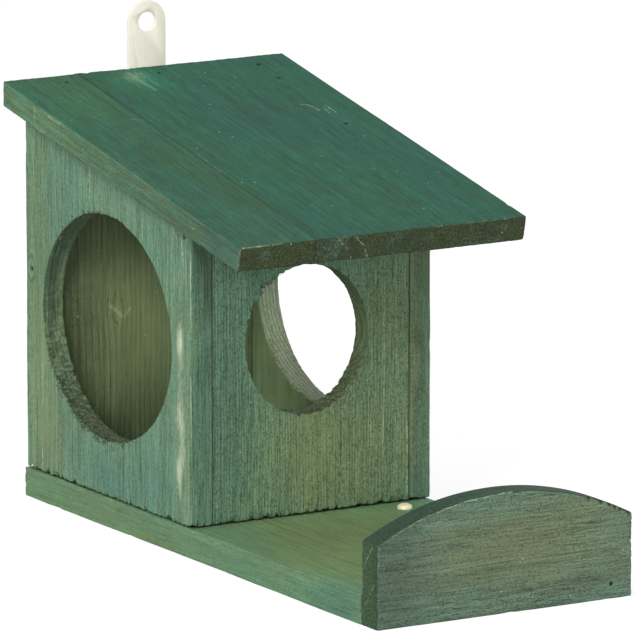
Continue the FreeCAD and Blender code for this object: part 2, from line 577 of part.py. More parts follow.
def build_hanger_strap():
    """A steel strap with full-round ends. Its origin is the centre of the hanging hole."""
    body = new_body("hanger_strap", STRAP_BASE)
    sketch = new_sketch(body, "hanger_strap_outline", "XZ_Plane")
    normal = FreeCAD.Vector(0, 0, 1)
    top = sketch.addGeometry(
        Part.ArcOfCircle(Part.Circle(FreeCAD.Vector(0, 0, 0), normal, 8), 0, math.pi), False)
    left = sketch.addGeometry(
        Part.LineSegment(FreeCAD.Vector(-8, 0, 0), FreeCAD.Vector(-8, -54, 0)), False)
    foot = sketch.addGeometry(
        Part.ArcOfCircle(Part.Circle(FreeCAD.Vector(0, -54, 0), normal, 8), math.pi, 2 * math.pi), False)
    right = sketch.addGeometry(
        Part.LineSegment(FreeCAD.Vector(8, -54, 0), FreeCAD.Vector(8, 0, 0)), False)
    constraints = [plain("Equal", top, foot),
                   sized("Radius", (top,), 8.0, "end_radius", "Sizes.strap_width / 2")]
    for joint in ((top, 2, left, 1), (left, 2, foot, 1), (foot, 2, right, 1), (right, 2, top, 1)):
        constraints.append(plain("Tangent", *joint))
    constraints += point_at(sketch, top, 3, "0", "0", "top")
    constraints += point_at(sketch, foot, 3, "0", "-%s" % STRAP_SPAN, "foot")
    hold(sketch, constraints)
    pad(body, "hanger_strap_blank", sketch, "Sizes.strap_thickness", True)
    soften(body, "Sizes.strap_burr", lambda edge: abs(edge.Vertexes[0].Y - edge.Vertexes[-1].Y) < 0.01)
    drill(body, "hanging_hole", "XZ_Plane", [("0", "0")], "Sizes.hanging_hole_diameter",
          "Sizes.strap_thickness", -1)
    shank_hole = "Sizes.screw_shank_diameter + 2 * Sizes.strap_screw_play"
    screws = [("0", "-%s" % STRAP_SPAN), ("0", "Sizes.strap_screw_pitch - %s" % STRAP_SPAN)]
    drill(body, "strap_screw_clearance", "XZ_Plane", screws, shank_hole, "Sizes.strap_thickness", -1)


def build_screws():
    outside = "%s + Sizes.strap_thickness" % HOUSE_DEPTH
    lower = "%s - %s" % (HANGING_HEIGHT, STRAP_SPAN)
    heights = {"hanger_screw_lower": lower, "hanger_screw_upper": lower + " + Sizes.strap_screw_pitch"}
    for label, height in heights.items():
        screw(label, "Sizes.strap_screw_length", ("Sizes.strap_shift", outside, height), "-90")
    screw("floor_screw", "Sizes.floor_screw_length",
          ("Sizes.floor_screw_shift", "-Sizes.floor_screw_setback", FLOOR), "0")


def build_nails():
    nails("roof_back_nails", ROOF_BASE, "XY_Plane", [ROOF_BACK_NAIL_LEFT, ROOF_BACK_NAIL_RIGHT],
          -1, ROOF, PITCH)
    nails("roof_side_nails", ROOF_BASE, "XY_Plane", ROOF_SIDE_NAILS, -1, ROOF, PITCH)
    nails("left_wall_front_nails", LEFT_BASE, "YZ_Plane", FRONT_JOINT, 1, "0")
    nails("left_wall_back_nails", LEFT_BASE, "YZ_Plane", BACK_JOINT, 1, "0")
    nails("right_wall_front_nails", RIGHT_BASE, "YZ_Plane", FRONT_JOINT, -1, WALL)
    nails("right_wall_back_nails", RIGHT_BASE, "YZ_Plane", BACK_JOINT, -1, WALL)
    nails("floor_side_nails", FLOOR_BASE, "XY_Plane", FLOOR_SIDE_NAILS, 1, "0")
    nails("floor_cross_nails", FLOOR_BASE, "XY_Plane", FLOOR_CROSS_NAILS, 1, "0")
    nails("rail_nails", RAIL_BASE, "XZ_Plane", RAIL_NAILS, -1, "Sizes.rail_thickness")


build_floor_board()
build_side_wall("left_wall", LEFT_BASE, "left")
build_side_wall("right_wall", RIGHT_BASE, "right")
build_front_wall()
build_back_wall()
build_roof_stave("roof_left_stave", ROOF_EDGE, "Sizes.left_stave_width",
                 [ROOF_BACK_NAIL_LEFT], "right")
build_roof_stave("roof_right_stave", ROOF_EDGE + " + Sizes.left_stave_width",
                 "Sizes.roof_width - Sizes.left_stave_width",
                 [ROOF_BACK_NAIL_RIGHT] + ROOF_SIDE_NAILS, "left")
build_front_rail()
build_hanger_strap()
build_screws()
build_nails()
doc.recompute()

# Check every object, then write one file for each piece

for item in doc.Objects:
    if "Invalid" in item.State or "Error" in item.State:
        raise ValueError("%s is %s" % (item.Label, item.State))

os.makedirs("parts", exist_ok=True)
for item in doc.Objects:
    if item.TypeId == "PartDesign::Body":
        if item.Shape.isNull() or not item.Shape.isValid():
            raise ValueError(item.Label + " has no valid shape")
        item.Shape.exportStep("parts/%s.step" % item.Label)
        print(item.Label, len(item.Shape.Solids), round(item.Shape.Volume, 1), item.Shape.BoundBox)
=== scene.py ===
# The finish of a squirrel feeder: a little house of stained softwood boards on a long floor board.
#
# Every board becomes a weathered mesh with worn arrises, raised grain and torn rims round its
# openings, under a translucent green glaze. Fibres stand up where the saw tore the wood. The
# strap is plated steel, the screws have threads and cross recesses, and the brads are dull steel.
#
# Lengths are in metres. +Z is up and the front looks along -Y, as in the packed model. Places
# and sizes written in millimetres are turned into metres by MM where they are used.

import itertools
import json
import math

import bpy
import numpy as np
from bpy.props import FloatProperty, FloatVectorProperty, IntProperty, PointerProperty
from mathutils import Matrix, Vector


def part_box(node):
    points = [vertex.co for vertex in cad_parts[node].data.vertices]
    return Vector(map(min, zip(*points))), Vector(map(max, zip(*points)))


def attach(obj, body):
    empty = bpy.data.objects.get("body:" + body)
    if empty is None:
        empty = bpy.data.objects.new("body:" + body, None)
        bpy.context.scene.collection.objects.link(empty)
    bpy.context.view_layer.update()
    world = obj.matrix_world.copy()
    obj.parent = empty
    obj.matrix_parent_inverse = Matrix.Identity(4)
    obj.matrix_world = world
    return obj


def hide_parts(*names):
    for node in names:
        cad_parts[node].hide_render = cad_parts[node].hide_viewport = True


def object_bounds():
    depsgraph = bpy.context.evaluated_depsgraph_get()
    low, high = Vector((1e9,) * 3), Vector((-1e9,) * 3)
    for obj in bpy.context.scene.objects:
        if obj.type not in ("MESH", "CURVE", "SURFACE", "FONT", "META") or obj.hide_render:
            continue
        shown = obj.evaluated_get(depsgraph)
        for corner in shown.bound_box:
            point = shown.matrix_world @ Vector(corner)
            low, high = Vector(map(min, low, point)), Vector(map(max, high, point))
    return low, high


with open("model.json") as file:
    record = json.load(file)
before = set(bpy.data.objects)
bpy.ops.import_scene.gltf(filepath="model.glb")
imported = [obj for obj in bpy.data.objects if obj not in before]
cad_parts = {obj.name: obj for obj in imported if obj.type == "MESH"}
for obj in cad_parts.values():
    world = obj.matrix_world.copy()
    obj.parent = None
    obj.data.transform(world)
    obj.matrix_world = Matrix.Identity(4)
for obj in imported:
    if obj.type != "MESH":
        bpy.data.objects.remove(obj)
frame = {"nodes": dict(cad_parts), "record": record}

bl_info = {
    "name": "Squirrel feeder",
    "version": (1, 0, 0),
    "blender": (4, 5, 0),
    "location": "3D View > Sidebar > Feeder",
    "description": "Dresses the boards and ironmongery of a nailed timber squirrel feeder",
    "category": "Object",
}

MM = 0.001
CAD_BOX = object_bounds()
BODY = "root"
UP = np.array([0.0, 0.0, 1.0])
FRONT = np.array([0.0, -1.0, 0.0])
FULL_TURN = 2 * math.pi

# How far fibres and screws are spun by chance: nearly a full turn, in radians
SPIN = 6.283


# Reading sizes from the packed model

def points_of(node):
    """The corner points of a CAD node, one row each."""
    mesh = frame["nodes"][node].data
    points = np.empty(len(mesh.vertices) * 3)
    mesh.vertices.foreach_get("co", points)
    return points.reshape(-1, 3)


def extent(node):
    """Lowest and highest corner of a CAD node."""
    low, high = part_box(node)
    return np.array(low), np.array(high)


def turned_about_x(points, angle):
    """Points turned about the row's X axis."""
    cosine, sine = math.cos(angle), math.sin(angle)
    turned = points.copy()
    turned[:, 1] = cosine * points[:, 1] - sine * points[:, 2]
    turned[:, 2] = sine * points[:, 1] + cosine * points[:, 2]
    return turned


def roof_pitch():
    """The slope of the roof, from the biggest face of a stave."""
    faces = frame["nodes"]["roof_right_stave"].data.polygons
    biggest = max(faces, key=lambda face: face.area * abs(face.normal.z))
    normal = biggest.normal if biggest.normal.z > 0 else -biggest.normal
    return math.atan2(-normal.y, normal.z)


def other_axes(axis):
    """The two axes that aren't this one."""
    return [index for index in range(3) if index != axis]


def opening_of(node, axis):
    """Centre and half sizes of the oval opening through a wall, seen along an axis."""
    low, high = extent(node)
    points = points_of(node)
    others = other_axes(axis)
    wanted = abs(points[:, axis] - low[axis]) < 0.05 * MM
    for index in others:
        wanted &= (points[:, index] > low[index] + 12 * MM) & (points[:, index] < high[index] - 12 * MM)
    rim = points[wanted][:, others]
    return (rim.min(axis=0) + rim.max(axis=0)) / 2, (rim.max(axis=0) - rim.min(axis=0)) / 2


def arch_of(node):
    """Height of the centre and radius of an arched top."""
    low, high = extent(node)
    points = points_of(node)
    top = points[points[:, 2] > 0.8 * high[2]]
    inner = top[np.abs(top[:, 1] - (low[1] + high[1]) / 2) < (high[1] - low[1]) / 2 - 0.3 * MM]
    middle = (low[0] + high[0]) / 2
    across = inner[:, 0] - middle
    rows = np.stack([2 * inner[:, 2], np.ones(len(inner))], axis=1)
    centre, rest = np.linalg.lstsq(rows, across ** 2 + inner[:, 2] ** 2, rcond=None)[0]
    return centre, math.sqrt(rest + centre ** 2)


def head_centres(node, outward):
    """The middle of the top of each nail's head in a group."""
    points = points_of(node)
    height = points @ outward
    groups = []
    for point in points[height > height.max() - 0.05 * MM]:
        near = [group for group in groups if np.linalg.norm(group[0] - point) < 4 * MM]
        if near:
            near[0].append(point)
        else:
            groups.append([point])
    return [(np.min(group, axis=0) + np.max(group, axis=0)) / 2 for group in groups]


PITCH = roof_pitch()
ROOF_LOW = np.minimum(*[turned_about_x(points_of(node), -PITCH).min(axis=0)
                        for node in ("roof_left_stave", "roof_right_stave")])
ROOF_OUT = np.array([0.0, -math.sin(PITCH), math.cos(PITCH)])
RAIL_CENTRE, RAIL_RADIUS = arch_of("front_rail")


def underside_of_roof(back):
    """Height of the roof's underside at a distance behind the front face."""
    return (ROOF_LOW[2] + back * math.sin(PITCH)) / math.cos(PITCH)


# Random values that are the same on every run

def lattice(corner, seed):
    """A fixed random value from 0 to 1 for every whole-numbered corner."""
    bits = (corner * np.array([374761393, 668265263, 1103515245])).sum(axis=1) + seed * 1274126177
    bits = (bits ^ (bits >> 13)) & 0xFFFFFFFF
    bits = (bits * 1274126177) & 0xFFFFFFFF
    return ((bits ^ (bits >> 16)) & 0xFFFF) / 65535


def noise(points, size, seed):
    """Smooth random values from -1 to 1, with waves of this size in millimetres along each axis."""
    scaled = points / (np.asarray(size) * MM)
    corner = np.floor(scaled).astype(np.int64)
    part = scaled - corner
    part = part * part * (3 - 2 * part)
    total = np.zeros(len(points))
    for step in itertools.product((0, 1), repeat=3):
        weight = np.prod(np.where(step, part, 1 - part), axis=1)
        total += weight * lattice(corner + np.array(step), seed)
    return 2 * total - 1


def smooth_step(value, low, high):
    """0 below low, 1 above high, and a smooth rise between."""
    share = np.clip((value - low) / (high - low), 0, 1)
    return share * share * (3 - 2 * share)


def spots_at(points, spots):
    """How strongly soft spots act on each point. A spot is its centre, its reach and its amount."""
    total = np.zeros(len(points))
    for centre, reach, amount in spots:
        away = (points - np.array(centre) * MM) / (np.array(reach) * MM)
        total += amount * np.exp(-(away ** 2).sum(axis=1))
    return total


# Meshes

ARRIS_LINES = np.array([0, 0.12, 0.3, 0.55, 0.9, 1.4]) * MM


def grid_lines(low, high, step):
    """Lines from low to high, closer together beside both ends, where the arris turns."""
    inner_low, inner_high = low + ARRIS_LINES[-1], high - ARRIS_LINES[-1]
    count = max(1, round((inner_high - inner_low) / step))
    middle = np.linspace(inner_low, inner_high, count + 1)
    return np.concatenate([low + ARRIS_LINES[:-1], middle, (high - ARRIS_LINES[:-1])[::-1]])


def box_grid(lines):
    """A closed box of quads on three sets of grid lines, with its faces pointing outwards."""
    counts = [len(line) for line in lines]
    surface = np.zeros(counts, dtype=bool)
    for axis in range(3):
        sides = np.moveaxis(surface, axis, 0)
        sides[0] = True
        sides[-1] = True
    number = np.full(counts, -1)
    number[surface] = np.arange(surface.sum())
    index = np.argwhere(surface)
    points = np.stack([lines[axis][index[:, axis]] for axis in range(3)], axis=1)
    quads = []
    for axis in range(3):
        for end in (0, -1):
            sheet = np.take(number, end, axis=axis)
            corners = [sheet[:-1, :-1], sheet[1:, :-1], sheet[1:, 1:], sheet[:-1, 1:]]
            if (end == 0) != (axis == 1):
                corners.reverse()
            quads.append(np.stack([corner.ravel() for corner in corners], axis=1))
    return points, np.concatenate(quads)


def tube_grid(rings):
    """A closed skin over rings of points that all have one count, wound to face outwards."""
    count = len(rings[0])
    faces = []
    for ring in range(len(rings) - 1):
        first, second = ring * count, (ring + 1) * count
        for corner in range(count):
            following = (corner + 1) % count
            faces.append([first + corner, first + following, second + following, second + corner])
    faces.append(list(range(count))[::-1])
    faces.append(list(range((len(rings) - 1) * count, len(rings) * count)))
    return np.concatenate(rings), faces


def ring_round(axis, station, centre, reach, angles):
    """A ring of points round an axis. Its centre and its reach are as seen along that axis."""
    ring = np.zeros((len(angles), 3))
    first, second = other_axes(axis)
    ring[:, first] = centre[0] + reach[0] * np.cos(angles)
    ring[:, second] = centre[1] + reach[1] * np.sin(angles)
    ring[:, axis] = station
    return ring


def in_scene(name, data):
    """An object in the scene, at the origin."""
    made = bpy.data.objects.new(name, data)
    bpy.context.scene.collection.objects.link(made)
    return made


def new_object(name, points, faces):
    """An object with a new mesh, whose place is in its mesh."""
    mesh = bpy.data.meshes.new(name)
    mesh.from_pydata(np.asarray(points).tolist(), [], np.asarray(faces, dtype=object).tolist())
    mesh.update()
    return in_scene(name, mesh)


def skin(name, rings):
    """An object that is a closed skin over rings."""
    return new_object(name, *tube_grid(rings))


def settle(thing):
    """Turn an object's modifiers into plain mesh."""
    evaluated = thing.evaluated_get(bpy.context.evaluated_depsgraph_get())
    mesh = bpy.data.meshes.new_from_object(evaluated)
    thing.modifiers.clear()
    thing.data = mesh


def smooth_faces(thing, angle=38):
    """Smooth shading that keeps edges sharper than the angle."""
    thing.data.shade_smooth()
    thing.data.set_sharp_from_angle(angle=math.radians(angle))


def carve(thing, cutters):
    """Take the cutters out of an object and remove them."""
    for cutter in cutters:
        cut = thing.modifiers.new("Carve", "BOOLEAN")
        cut.operation = "DIFFERENCE"
        cut.solver = "MANIFOLD"
        cut.object = cutter
    settle(thing)
    for cutter in cutters:
        bpy.data.objects.remove(cutter)


def set_values(thing, name, values):
    """A number on every corner point of an object, for its material to read."""
    attribute = thing.data.attributes.new(name, "FLOAT", "POINT")
    attribute.data.foreach_set("value", np.asarray(values, dtype=np.float32))


def corner_points(thing):
    """The points of an object's mesh, one row each."""
    points = np.empty(len(thing.data.vertices) * 3)
    thing.data.vertices.foreach_get("co", points)
    return points.reshape(-1, 3)


def dress(thing, material, slot, *nodes):
    """Give a finished piece its material, its slot, its body and the nodes that it stands for."""
    thing.data.materials.clear()
    thing.data.materials.append(material)
    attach(thing, BODY)
    if nodes:
        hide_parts(*nodes)


# Nodes of materials and of geometry

def set_inputs(tree, made, inputs):
    """Set a node's inputs, or link those whose value is the output of another node."""
    for socket, value in inputs.items():
        if isinstance(value, bpy.types.NodeSocket):
            tree.links.new(value, made.inputs[socket])
        else:
            made.inputs[socket].default_value = value


def node(tree, kind, inputs=None, **settings):
    """A node with its settings made, and its inputs set or linked."""
    made = tree.nodes.new(kind)
    for name, value in settings.items():
        setattr(made, name, value)
    set_inputs(tree, made, inputs or {})
    return made


def grouped(tree, group, inputs):
    """What a node group puts out."""
    return node(tree, "ShaderNodeGroup", inputs, node_tree=group).outputs


def calc(tree, operation, *values, clamp=False):
    """The result of a Math node."""
    made = node(tree, "ShaderNodeMath", dict(enumerate(values)), operation=operation, use_clamp=clamp)
    return made.outputs[0]


def product(tree, first, second):
    """Two values multiplied."""
    return calc(tree, "MULTIPLY", first, second)


def larger(tree, first, second):
    """The larger of two values."""
    return calc(tree, "MAXIMUM", first, second)


def off_middle(tree, value):
    """How far a value lies above one half."""
    return calc(tree, "SUBTRACT", value, 0.5)


def vector_calc(tree, operation, *values):
    """The vector that a Vector Math node puts out."""
    return node(tree, "ShaderNodeVectorMath", dict(enumerate(values)), operation=operation).outputs[0]


def vector_number(tree, operation, *values):
    """The number that a Vector Math node puts out."""
    return node(tree, "ShaderNodeVectorMath", dict(enumerate(values)), operation=operation).outputs["Value"]


def lengthened(tree, vector, factor):
    """A vector or a colour times a number."""
    return node(tree, "ShaderNodeVectorMath", {0: vector, "Scale": factor}, operation="SCALE").outputs[0]


def z_of(tree, vector):
    """The Z of a vector."""
    return node(tree, "ShaderNodeSeparateXYZ", {0: vector}).outputs[2]


def rise(tree, value, low, high, floor=0.0, top=1.0):
    """A smooth rise from floor to top while the value goes from low to high."""
    inputs = {"Value": value, "From Min": low, "From Max": high, "To Min": floor, "To Max": top}
    return node(tree, "ShaderNodeMapRange", inputs, interpolation_type="SMOOTHSTEP").outputs[0]


def mixed(tree, factor, first, second, kind="MIX"):
    """The colour of a Mix node."""
    inputs = {0: factor, 6: first, 7: second}
    return node(tree, "ShaderNodeMix", inputs, data_type="RGBA", blend_type=kind).outputs[2]


def tinted(tree, colour, tint):
    """A colour multiplied by another one."""
    return mixed(tree, 1.0, colour, tint, "MULTIPLY")


def cloud(tree, position, size, detail=2.0, roughness=0.5, shift=(0.0, 0.0, 0.0)):
    """A noise from 0 to 1, whose waves have this size in millimetres along each axis."""
    scale = tuple(1 / wave for wave in size)
    place = vector_calc(tree, "MULTIPLY_ADD", position, scale, shift)
    inputs = {"Vector": place, "Scale": 1.0, "Detail": detail, "Roughness": roughness}
    return node(tree, "ShaderNodeTexNoise", inputs).outputs[0]


def stored(tree, name):
    """A number that the mesh carries on its points."""
    return node(tree, "ShaderNodeAttribute", attribute_name=name).outputs["Fac"]


def in_millimetres(tree, position):
    """A position in millimetres."""
    return node(tree, "ShaderNodeMapping", {"Vector": position, "Scale": (1 / MM,) * 3}).outputs[0]


def bumped(tree, strength, distance, height):
    """The normal of a surface with this height on it."""
    inputs = {"Strength": strength, "Distance": distance, "Height": height}
    return node(tree, "ShaderNodeBump", inputs).outputs[0]


def new_material(name):
    """A material, its node tree and its shader."""
    material = bpy.data.materials.new(name)
    material.use_nodes = True
    return material, material.node_tree, material.node_tree.nodes["Principled BSDF"]


SOCKET_KINDS = {float: "Float", int: "Int", tuple: "Color"}


def node_group(name, kind, inputs, outputs):
    """Turns a function that fills a node tree into one that gives the group, built only once.

    An input is given by its default value or, where it has none, by its kind.
    """
    def decorate(fill):
        def group():
            if name in bpy.data.node_groups:
                return bpy.data.node_groups[name]
            tree = bpy.data.node_groups.new(name, kind)
            for socket, value in inputs.items():
                socket_kind = "NodeSocket" + SOCKET_KINDS.get(type(value), str(value))
                made = tree.interface.new_socket(socket, in_out="INPUT", socket_type=socket_kind)
                if type(value) in SOCKET_KINDS:
                    made.default_value = value
            for socket, socket_kind in outputs.items():
                tree.interface.new_socket(socket, in_out="OUTPUT", socket_type="NodeSocket" + socket_kind)
            results = fill(tree, tree.nodes.new("NodeGroupInput").outputs)
            set_inputs(tree, tree.nodes.new("NodeGroupOutput"), results)
            return tree
        return group
    return decorate


@node_group("Softwood grain", "ShaderNodeTree",
            {"Position": "Vector", "Pith": "Vector", "Ring Spacing": 2.0, "Wander": 3.0},
            {"Ring": "Float", "Streak": "Float", "Fibre": "Float", "Dash": "Float", "Grit": "Float"})
def grain_group(tree, given):
    """Growth rings round a pith along Z, long streaks, fine fibres, dark dashes and grit."""
    position = given["Position"]
    drift = cloud(tree, position, (22, 22, 90))
    drift_across = cloud(tree, position, (18, 18, 70), shift=(7.3, 1.9, 4.1))
    offset = node(tree, "ShaderNodeCombineXYZ", {0: drift, 1: drift_across}).outputs[0]
    offset = vector_calc(tree, "SUBTRACT", offset, (0.5, 0.5, 0.0))
    from_pith = vector_calc(tree, "SUBTRACT", position, given["Pith"])
    from_pith = vector_calc(tree, "ADD", from_pith, lengthened(tree, offset, given["Wander"]))
    flat = vector_calc(tree, "MULTIPLY", from_pith, (1.0, 1.0, 0.0))
    ring_count = calc(tree, "DIVIDE", vector_number(tree, "LENGTH", flat), given["Ring Spacing"])
    phase = calc(tree, "FRACT", ring_count)
    clumps = cloud(tree, position, (7.0, 7.0, 22.0), shift=(2.2, 4.9, 7.1))
    short = cloud(tree, position, (0.42, 0.42, 5.5), 1.0, shift=(5.2, 0.7, 9.9))
    return {
        "Ring": product(tree, rise(tree, phase, 0.35, 0.88), rise(tree, phase, 1.0, 0.93)),
        "Streak": cloud(tree, position, (1.8, 1.8, 90.0), 4.0, 0.65, (3.1, 8.2, 0.4)),
        "Fibre": cloud(tree, position, (0.62, 0.62, 15.0), 3.0, 0.72),
        "Dash": product(tree, rise(tree, short, 0.58, 0.68), rise(tree, clumps, 0.38, 0.60)),
        "Grit": cloud(tree, position, (0.62, 0.62, 0.95), 3.0, 0.8, (1.2, 6.6, 3.9)),
    }


@node_group("Knot", "ShaderNodeTree",
            {"Position": "Vector", "Centre": "Vector", "Size": 5.0, "Grain": "Vector"},
            {"Position": "Vector", "Dark": "Float"})
def knot_group(tree, given):
    """Grain that bends round a knot, and the knot's dark ring and heart."""
    away = vector_calc(tree, "SUBTRACT", given["Position"], given["Centre"])
    along = vector_calc(tree, "MULTIPLY", away, given["Grain"])
    across = vector_calc(tree, "SUBTRACT", away, along)
    squeezed = vector_calc(tree, "MULTIPLY_ADD", along, (0.6, 0.6, 0.6), across)
    distance = calc(tree, "DIVIDE", vector_number(tree, "LENGTH", squeezed), given["Size"])
    push = calc(tree, "EXPONENT", product(tree, calc(tree, "POWER", distance, 2.0), -1.0))
    shift = lengthened(tree, across, product(tree, push, 0.8))
    ring = rise(tree, calc(tree, "ABSOLUTE", off_middle(tree, distance)), 0.16, 0.04)
    heart = rise(tree, distance, 0.2, 0.1)
    return {"Position": vector_calc(tree, "SUBTRACT", given["Position"], shift),
            "Dark": larger(tree, product(tree, ring, 0.75), heart)}


@node_group("Thin mark", "ShaderNodeTree",
            {"Position": "Vector", "From": "Vector", "To": "Vector", "Width": 0.4}, {"Mark": "Float"})
def mark_group(tree, given):
    """A thin ragged mark from one place to another, broken where it is narrow."""
    wander = off_middle(tree, cloud(tree, given["Position"], (3, 3, 3)))
    moved = vector_calc(tree, "ADD", given["Position"], lengthened(tree, (0.5, 0.5, 0.5), wander))
    away = vector_calc(tree, "SUBTRACT", moved, given["From"])
    way = vector_calc(tree, "SUBTRACT", given["To"], given["From"])
    reached = vector_number(tree, "DOT_PRODUCT", away, way)
    share = calc(tree, "DIVIDE", reached, vector_number(tree, "DOT_PRODUCT", way, way), clamp=True)
    aside = vector_calc(tree, "SUBTRACT", away, lengthened(tree, way, share))
    ragged = cloud(tree, given["Position"], (0.9, 0.9, 0.9), 2.0, 0.7, (2.7, 5.1, 8.3))
    reach = product(tree, given["Width"], calc(tree, "MULTIPLY_ADD", ragged, 2.6, -0.4))
    mark = rise(tree, vector_number(tree, "LENGTH", aside), reach, product(tree, reach, 0.2))
    broken = cloud(tree, given["Position"], (1.3, 1.3, 1.3), 2.0, 0.6, (6.3, 0.4, 2.9))
    unbroken = larger(tree, rise(tree, broken, 0.36, 0.58), rise(tree, given["Width"], 1.0, 1.3))
    return {"Mark": product(tree, mark, unbroken)}


BLACK = (0.0, 0.0, 0.0, 1.0)
WORN_THIN = (1.42, 1.36, 1.32, 1.0)
PORE = (0.008, 0.010, 0.005, 1.0)
RAISED_END = (2.3, 2.1, 1.8, 1.0)


@node_group("Green glaze", "ShaderNodeTree",
            {"Position": "Vector", "Ring": 0.0, "Streak": 0.5, "Fibre": 0.5, "Dash": 0.0, "Grit": 0.5,
             "Tone": 0.0, "Shade": 0.0, "Speck": 0.0, "End Grain": 0.0, "Stain": BLACK, "Olive": BLACK,
             "Teal": BLACK, "Blue": BLACK, "Soaked": BLACK, "Ends": BLACK, "Grain Contrast": 0.5,
             "Ring Contrast": 0.5, "Mottle": 0.5, "Grittiness": 0.5, "Dashes": 0.5},
            {"Color": "Color"})
def glaze_group(tree, given):
    """The colour of a translucent green glaze that lies unevenly over the grain."""
    position = given["Position"]
    broad = off_middle(tree, cloud(tree, position, (24, 24, 60), 3.0, 0.55, (1.7, 2.2, 3.3)))
    brushed = off_middle(tree, cloud(tree, position, (3.5, 3.5, 45), 4.0, 0.6, (6.1, 4.4, 2.5)))
    blots = off_middle(tree, cloud(tree, position, (6.0, 6.0, 9.0), 3.0, 0.6, (0.4, 7.7, 5.8)))
    mottle = calc(tree, "MULTIPLY_ADD", broad, 1.5, product(tree, brushed, 1.1))
    mottle = calc(tree, "MULTIPLY_ADD", blots, 0.6, mottle)
    tone = calc(tree, "MULTIPLY_ADD", mottle, given["Mottle"], given["Tone"])
    colour = mixed(tree, rise(tree, tone, -0.55, 0.25), given["Olive"], given["Teal"])
    colour = mixed(tree, rise(tree, tone, 0.15, 0.95), colour, given["Blue"])
    colour = tinted(tree, colour, given["Stain"])

    streaks = product(tree, rise(tree, given["Streak"], 0.45, 0.62), 0.4)
    fibres = product(tree, rise(tree, given["Fibre"], 0.46, 0.66), 0.65)
    depth = product(tree, calc(tree, "ADD", streaks, fibres), given["Grain Contrast"])
    depth = calc(tree, "MULTIPLY_ADD", given["Ring"], given["Ring Contrast"], depth)
    depth = calc(tree, "MULTIPLY_ADD", rise(tree, given["Grit"], 0.50, 0.64), given["Grittiness"], depth)
    depth = calc(tree, "MULTIPLY_ADD", given["Dash"], given["Dashes"], depth)
    specks = product(tree, rise(tree, given["Grit"], 0.47, 0.56), given["Speck"])
    depth = calc(tree, "MAXIMUM", depth, specks, clamp=True)
    soaked = mixed(tree, 0.85, colour, tinted(tree, given["Soaked"], given["Stain"]))
    shown = mixed(tree, depth, colour, soaked)

    pale_fibres = product(tree, rise(tree, given["Fibre"], 0.48, 0.30), given["Grain Contrast"])
    pale_grit = product(tree, rise(tree, given["Grit"], 0.46, 0.32), given["Grittiness"])
    shown = mixed(tree, larger(tree, pale_fibres, pale_grit), shown, tinted(tree, shown, WORN_THIN))

    bluer = mixed(tree, 0.25, given["Ends"], given["Blue"])
    ends = mixed(tree, product(tree, rise(tree, tone, 0.1, 0.9), 0.7), given["Ends"], bluer)
    coarse = cloud(tree, position, (0.85, 0.85, 0.85), 3.0, 0.75, (3.9, 7.4, 1.6))
    hollow = mixed(tree, 0.85, ends, PORE)
    raised = tinted(tree, ends, RAISED_END)
    ends = mixed(tree, rise(tree, coarse, 0.48, 0.62), ends, hollow)
    ends = mixed(tree, rise(tree, coarse, 0.47, 0.34), ends, raised)
    shown = mixed(tree, given["End Grain"], shown, ends)

    cloudy = calc(tree, "MULTIPLY_ADD", blots, 0.7, product(tree, brushed, 0.6))
    shade = calc(tree, "POWER", 2.0, calc(tree, "MULTIPLY_ADD", cloudy, given["Mottle"], given["Shade"]))
    return {"Color": lengthened(tree, shown, shade)}


@node_group("Bare wood", "ShaderNodeTree",
            {"Position": "Vector", "Wear": 0.0, "Raw": 0.0, "Marks": 0.0, "Fibre": 0.5, "Specks": 0.5},
            {"Bare": "Float"})
def bare_group(tree, given):
    """Where the glaze is rubbed off: along worn arrises, on raw streaks, in marks and in tiny specks."""
    position = given["Position"]
    grit = cloud(tree, position, (0.8, 0.8, 2.4), 3.0, 0.7, (9.4, 2.6, 1.1))
    ragged = calc(tree, "MULTIPLY_ADD", given["Fibre"], 0.5, product(tree, grit, 0.5))
    worn = rise(tree, calc(tree, "MULTIPLY_ADD", ragged, 0.9, given["Wear"]), 0.90, 1.3)
    raw = rise(tree, calc(tree, "MULTIPLY_ADD", ragged, 1.3, given["Raw"]), 0.90, 1.45)
    spread = vector_calc(tree, "MULTIPLY", position, (0.14, 0.14, 0.14))
    dots = node(tree, "ShaderNodeTexVoronoi", {"Vector": spread, "Scale": 1.0}).outputs["Distance"]
    specks = product(tree, rise(tree, dots, 0.06, 0.03), given["Specks"])
    return {"Bare": larger(tree, larger(tree, worn, raw), larger(tree, specks, given["Marks"]))}


def placed_marks(tree, row, marks):
    """The pale and the dark thin marks of one board, each as one value."""
    pale, dark = 0.0, 0.0
    for start, end, width, amount in marks:
        inputs = {"Position": row, "From": start, "To": end, "Width": width}
        shown = product(tree, grouped(tree, mark_group(), inputs)["Mark"], abs(amount))
        if amount > 0:
            pale = larger(tree, shown, pale)
        else:
            dark = larger(tree, shown, dark)
    return pale, dark


def bent_round_knots(tree, row, knots, grain):
    """Positions bent round a board's knots, and how dark the knots are."""
    dark = 0.0
    for centre, size, amount in knots:
        inputs = {"Position": row, "Centre": centre, "Size": size, "Grain": grain}
        knot = grouped(tree, knot_group(), inputs)
        row = knot["Position"]
        dark = larger(tree, product(tree, knot["Dark"], amount), dark)
    return row, dark


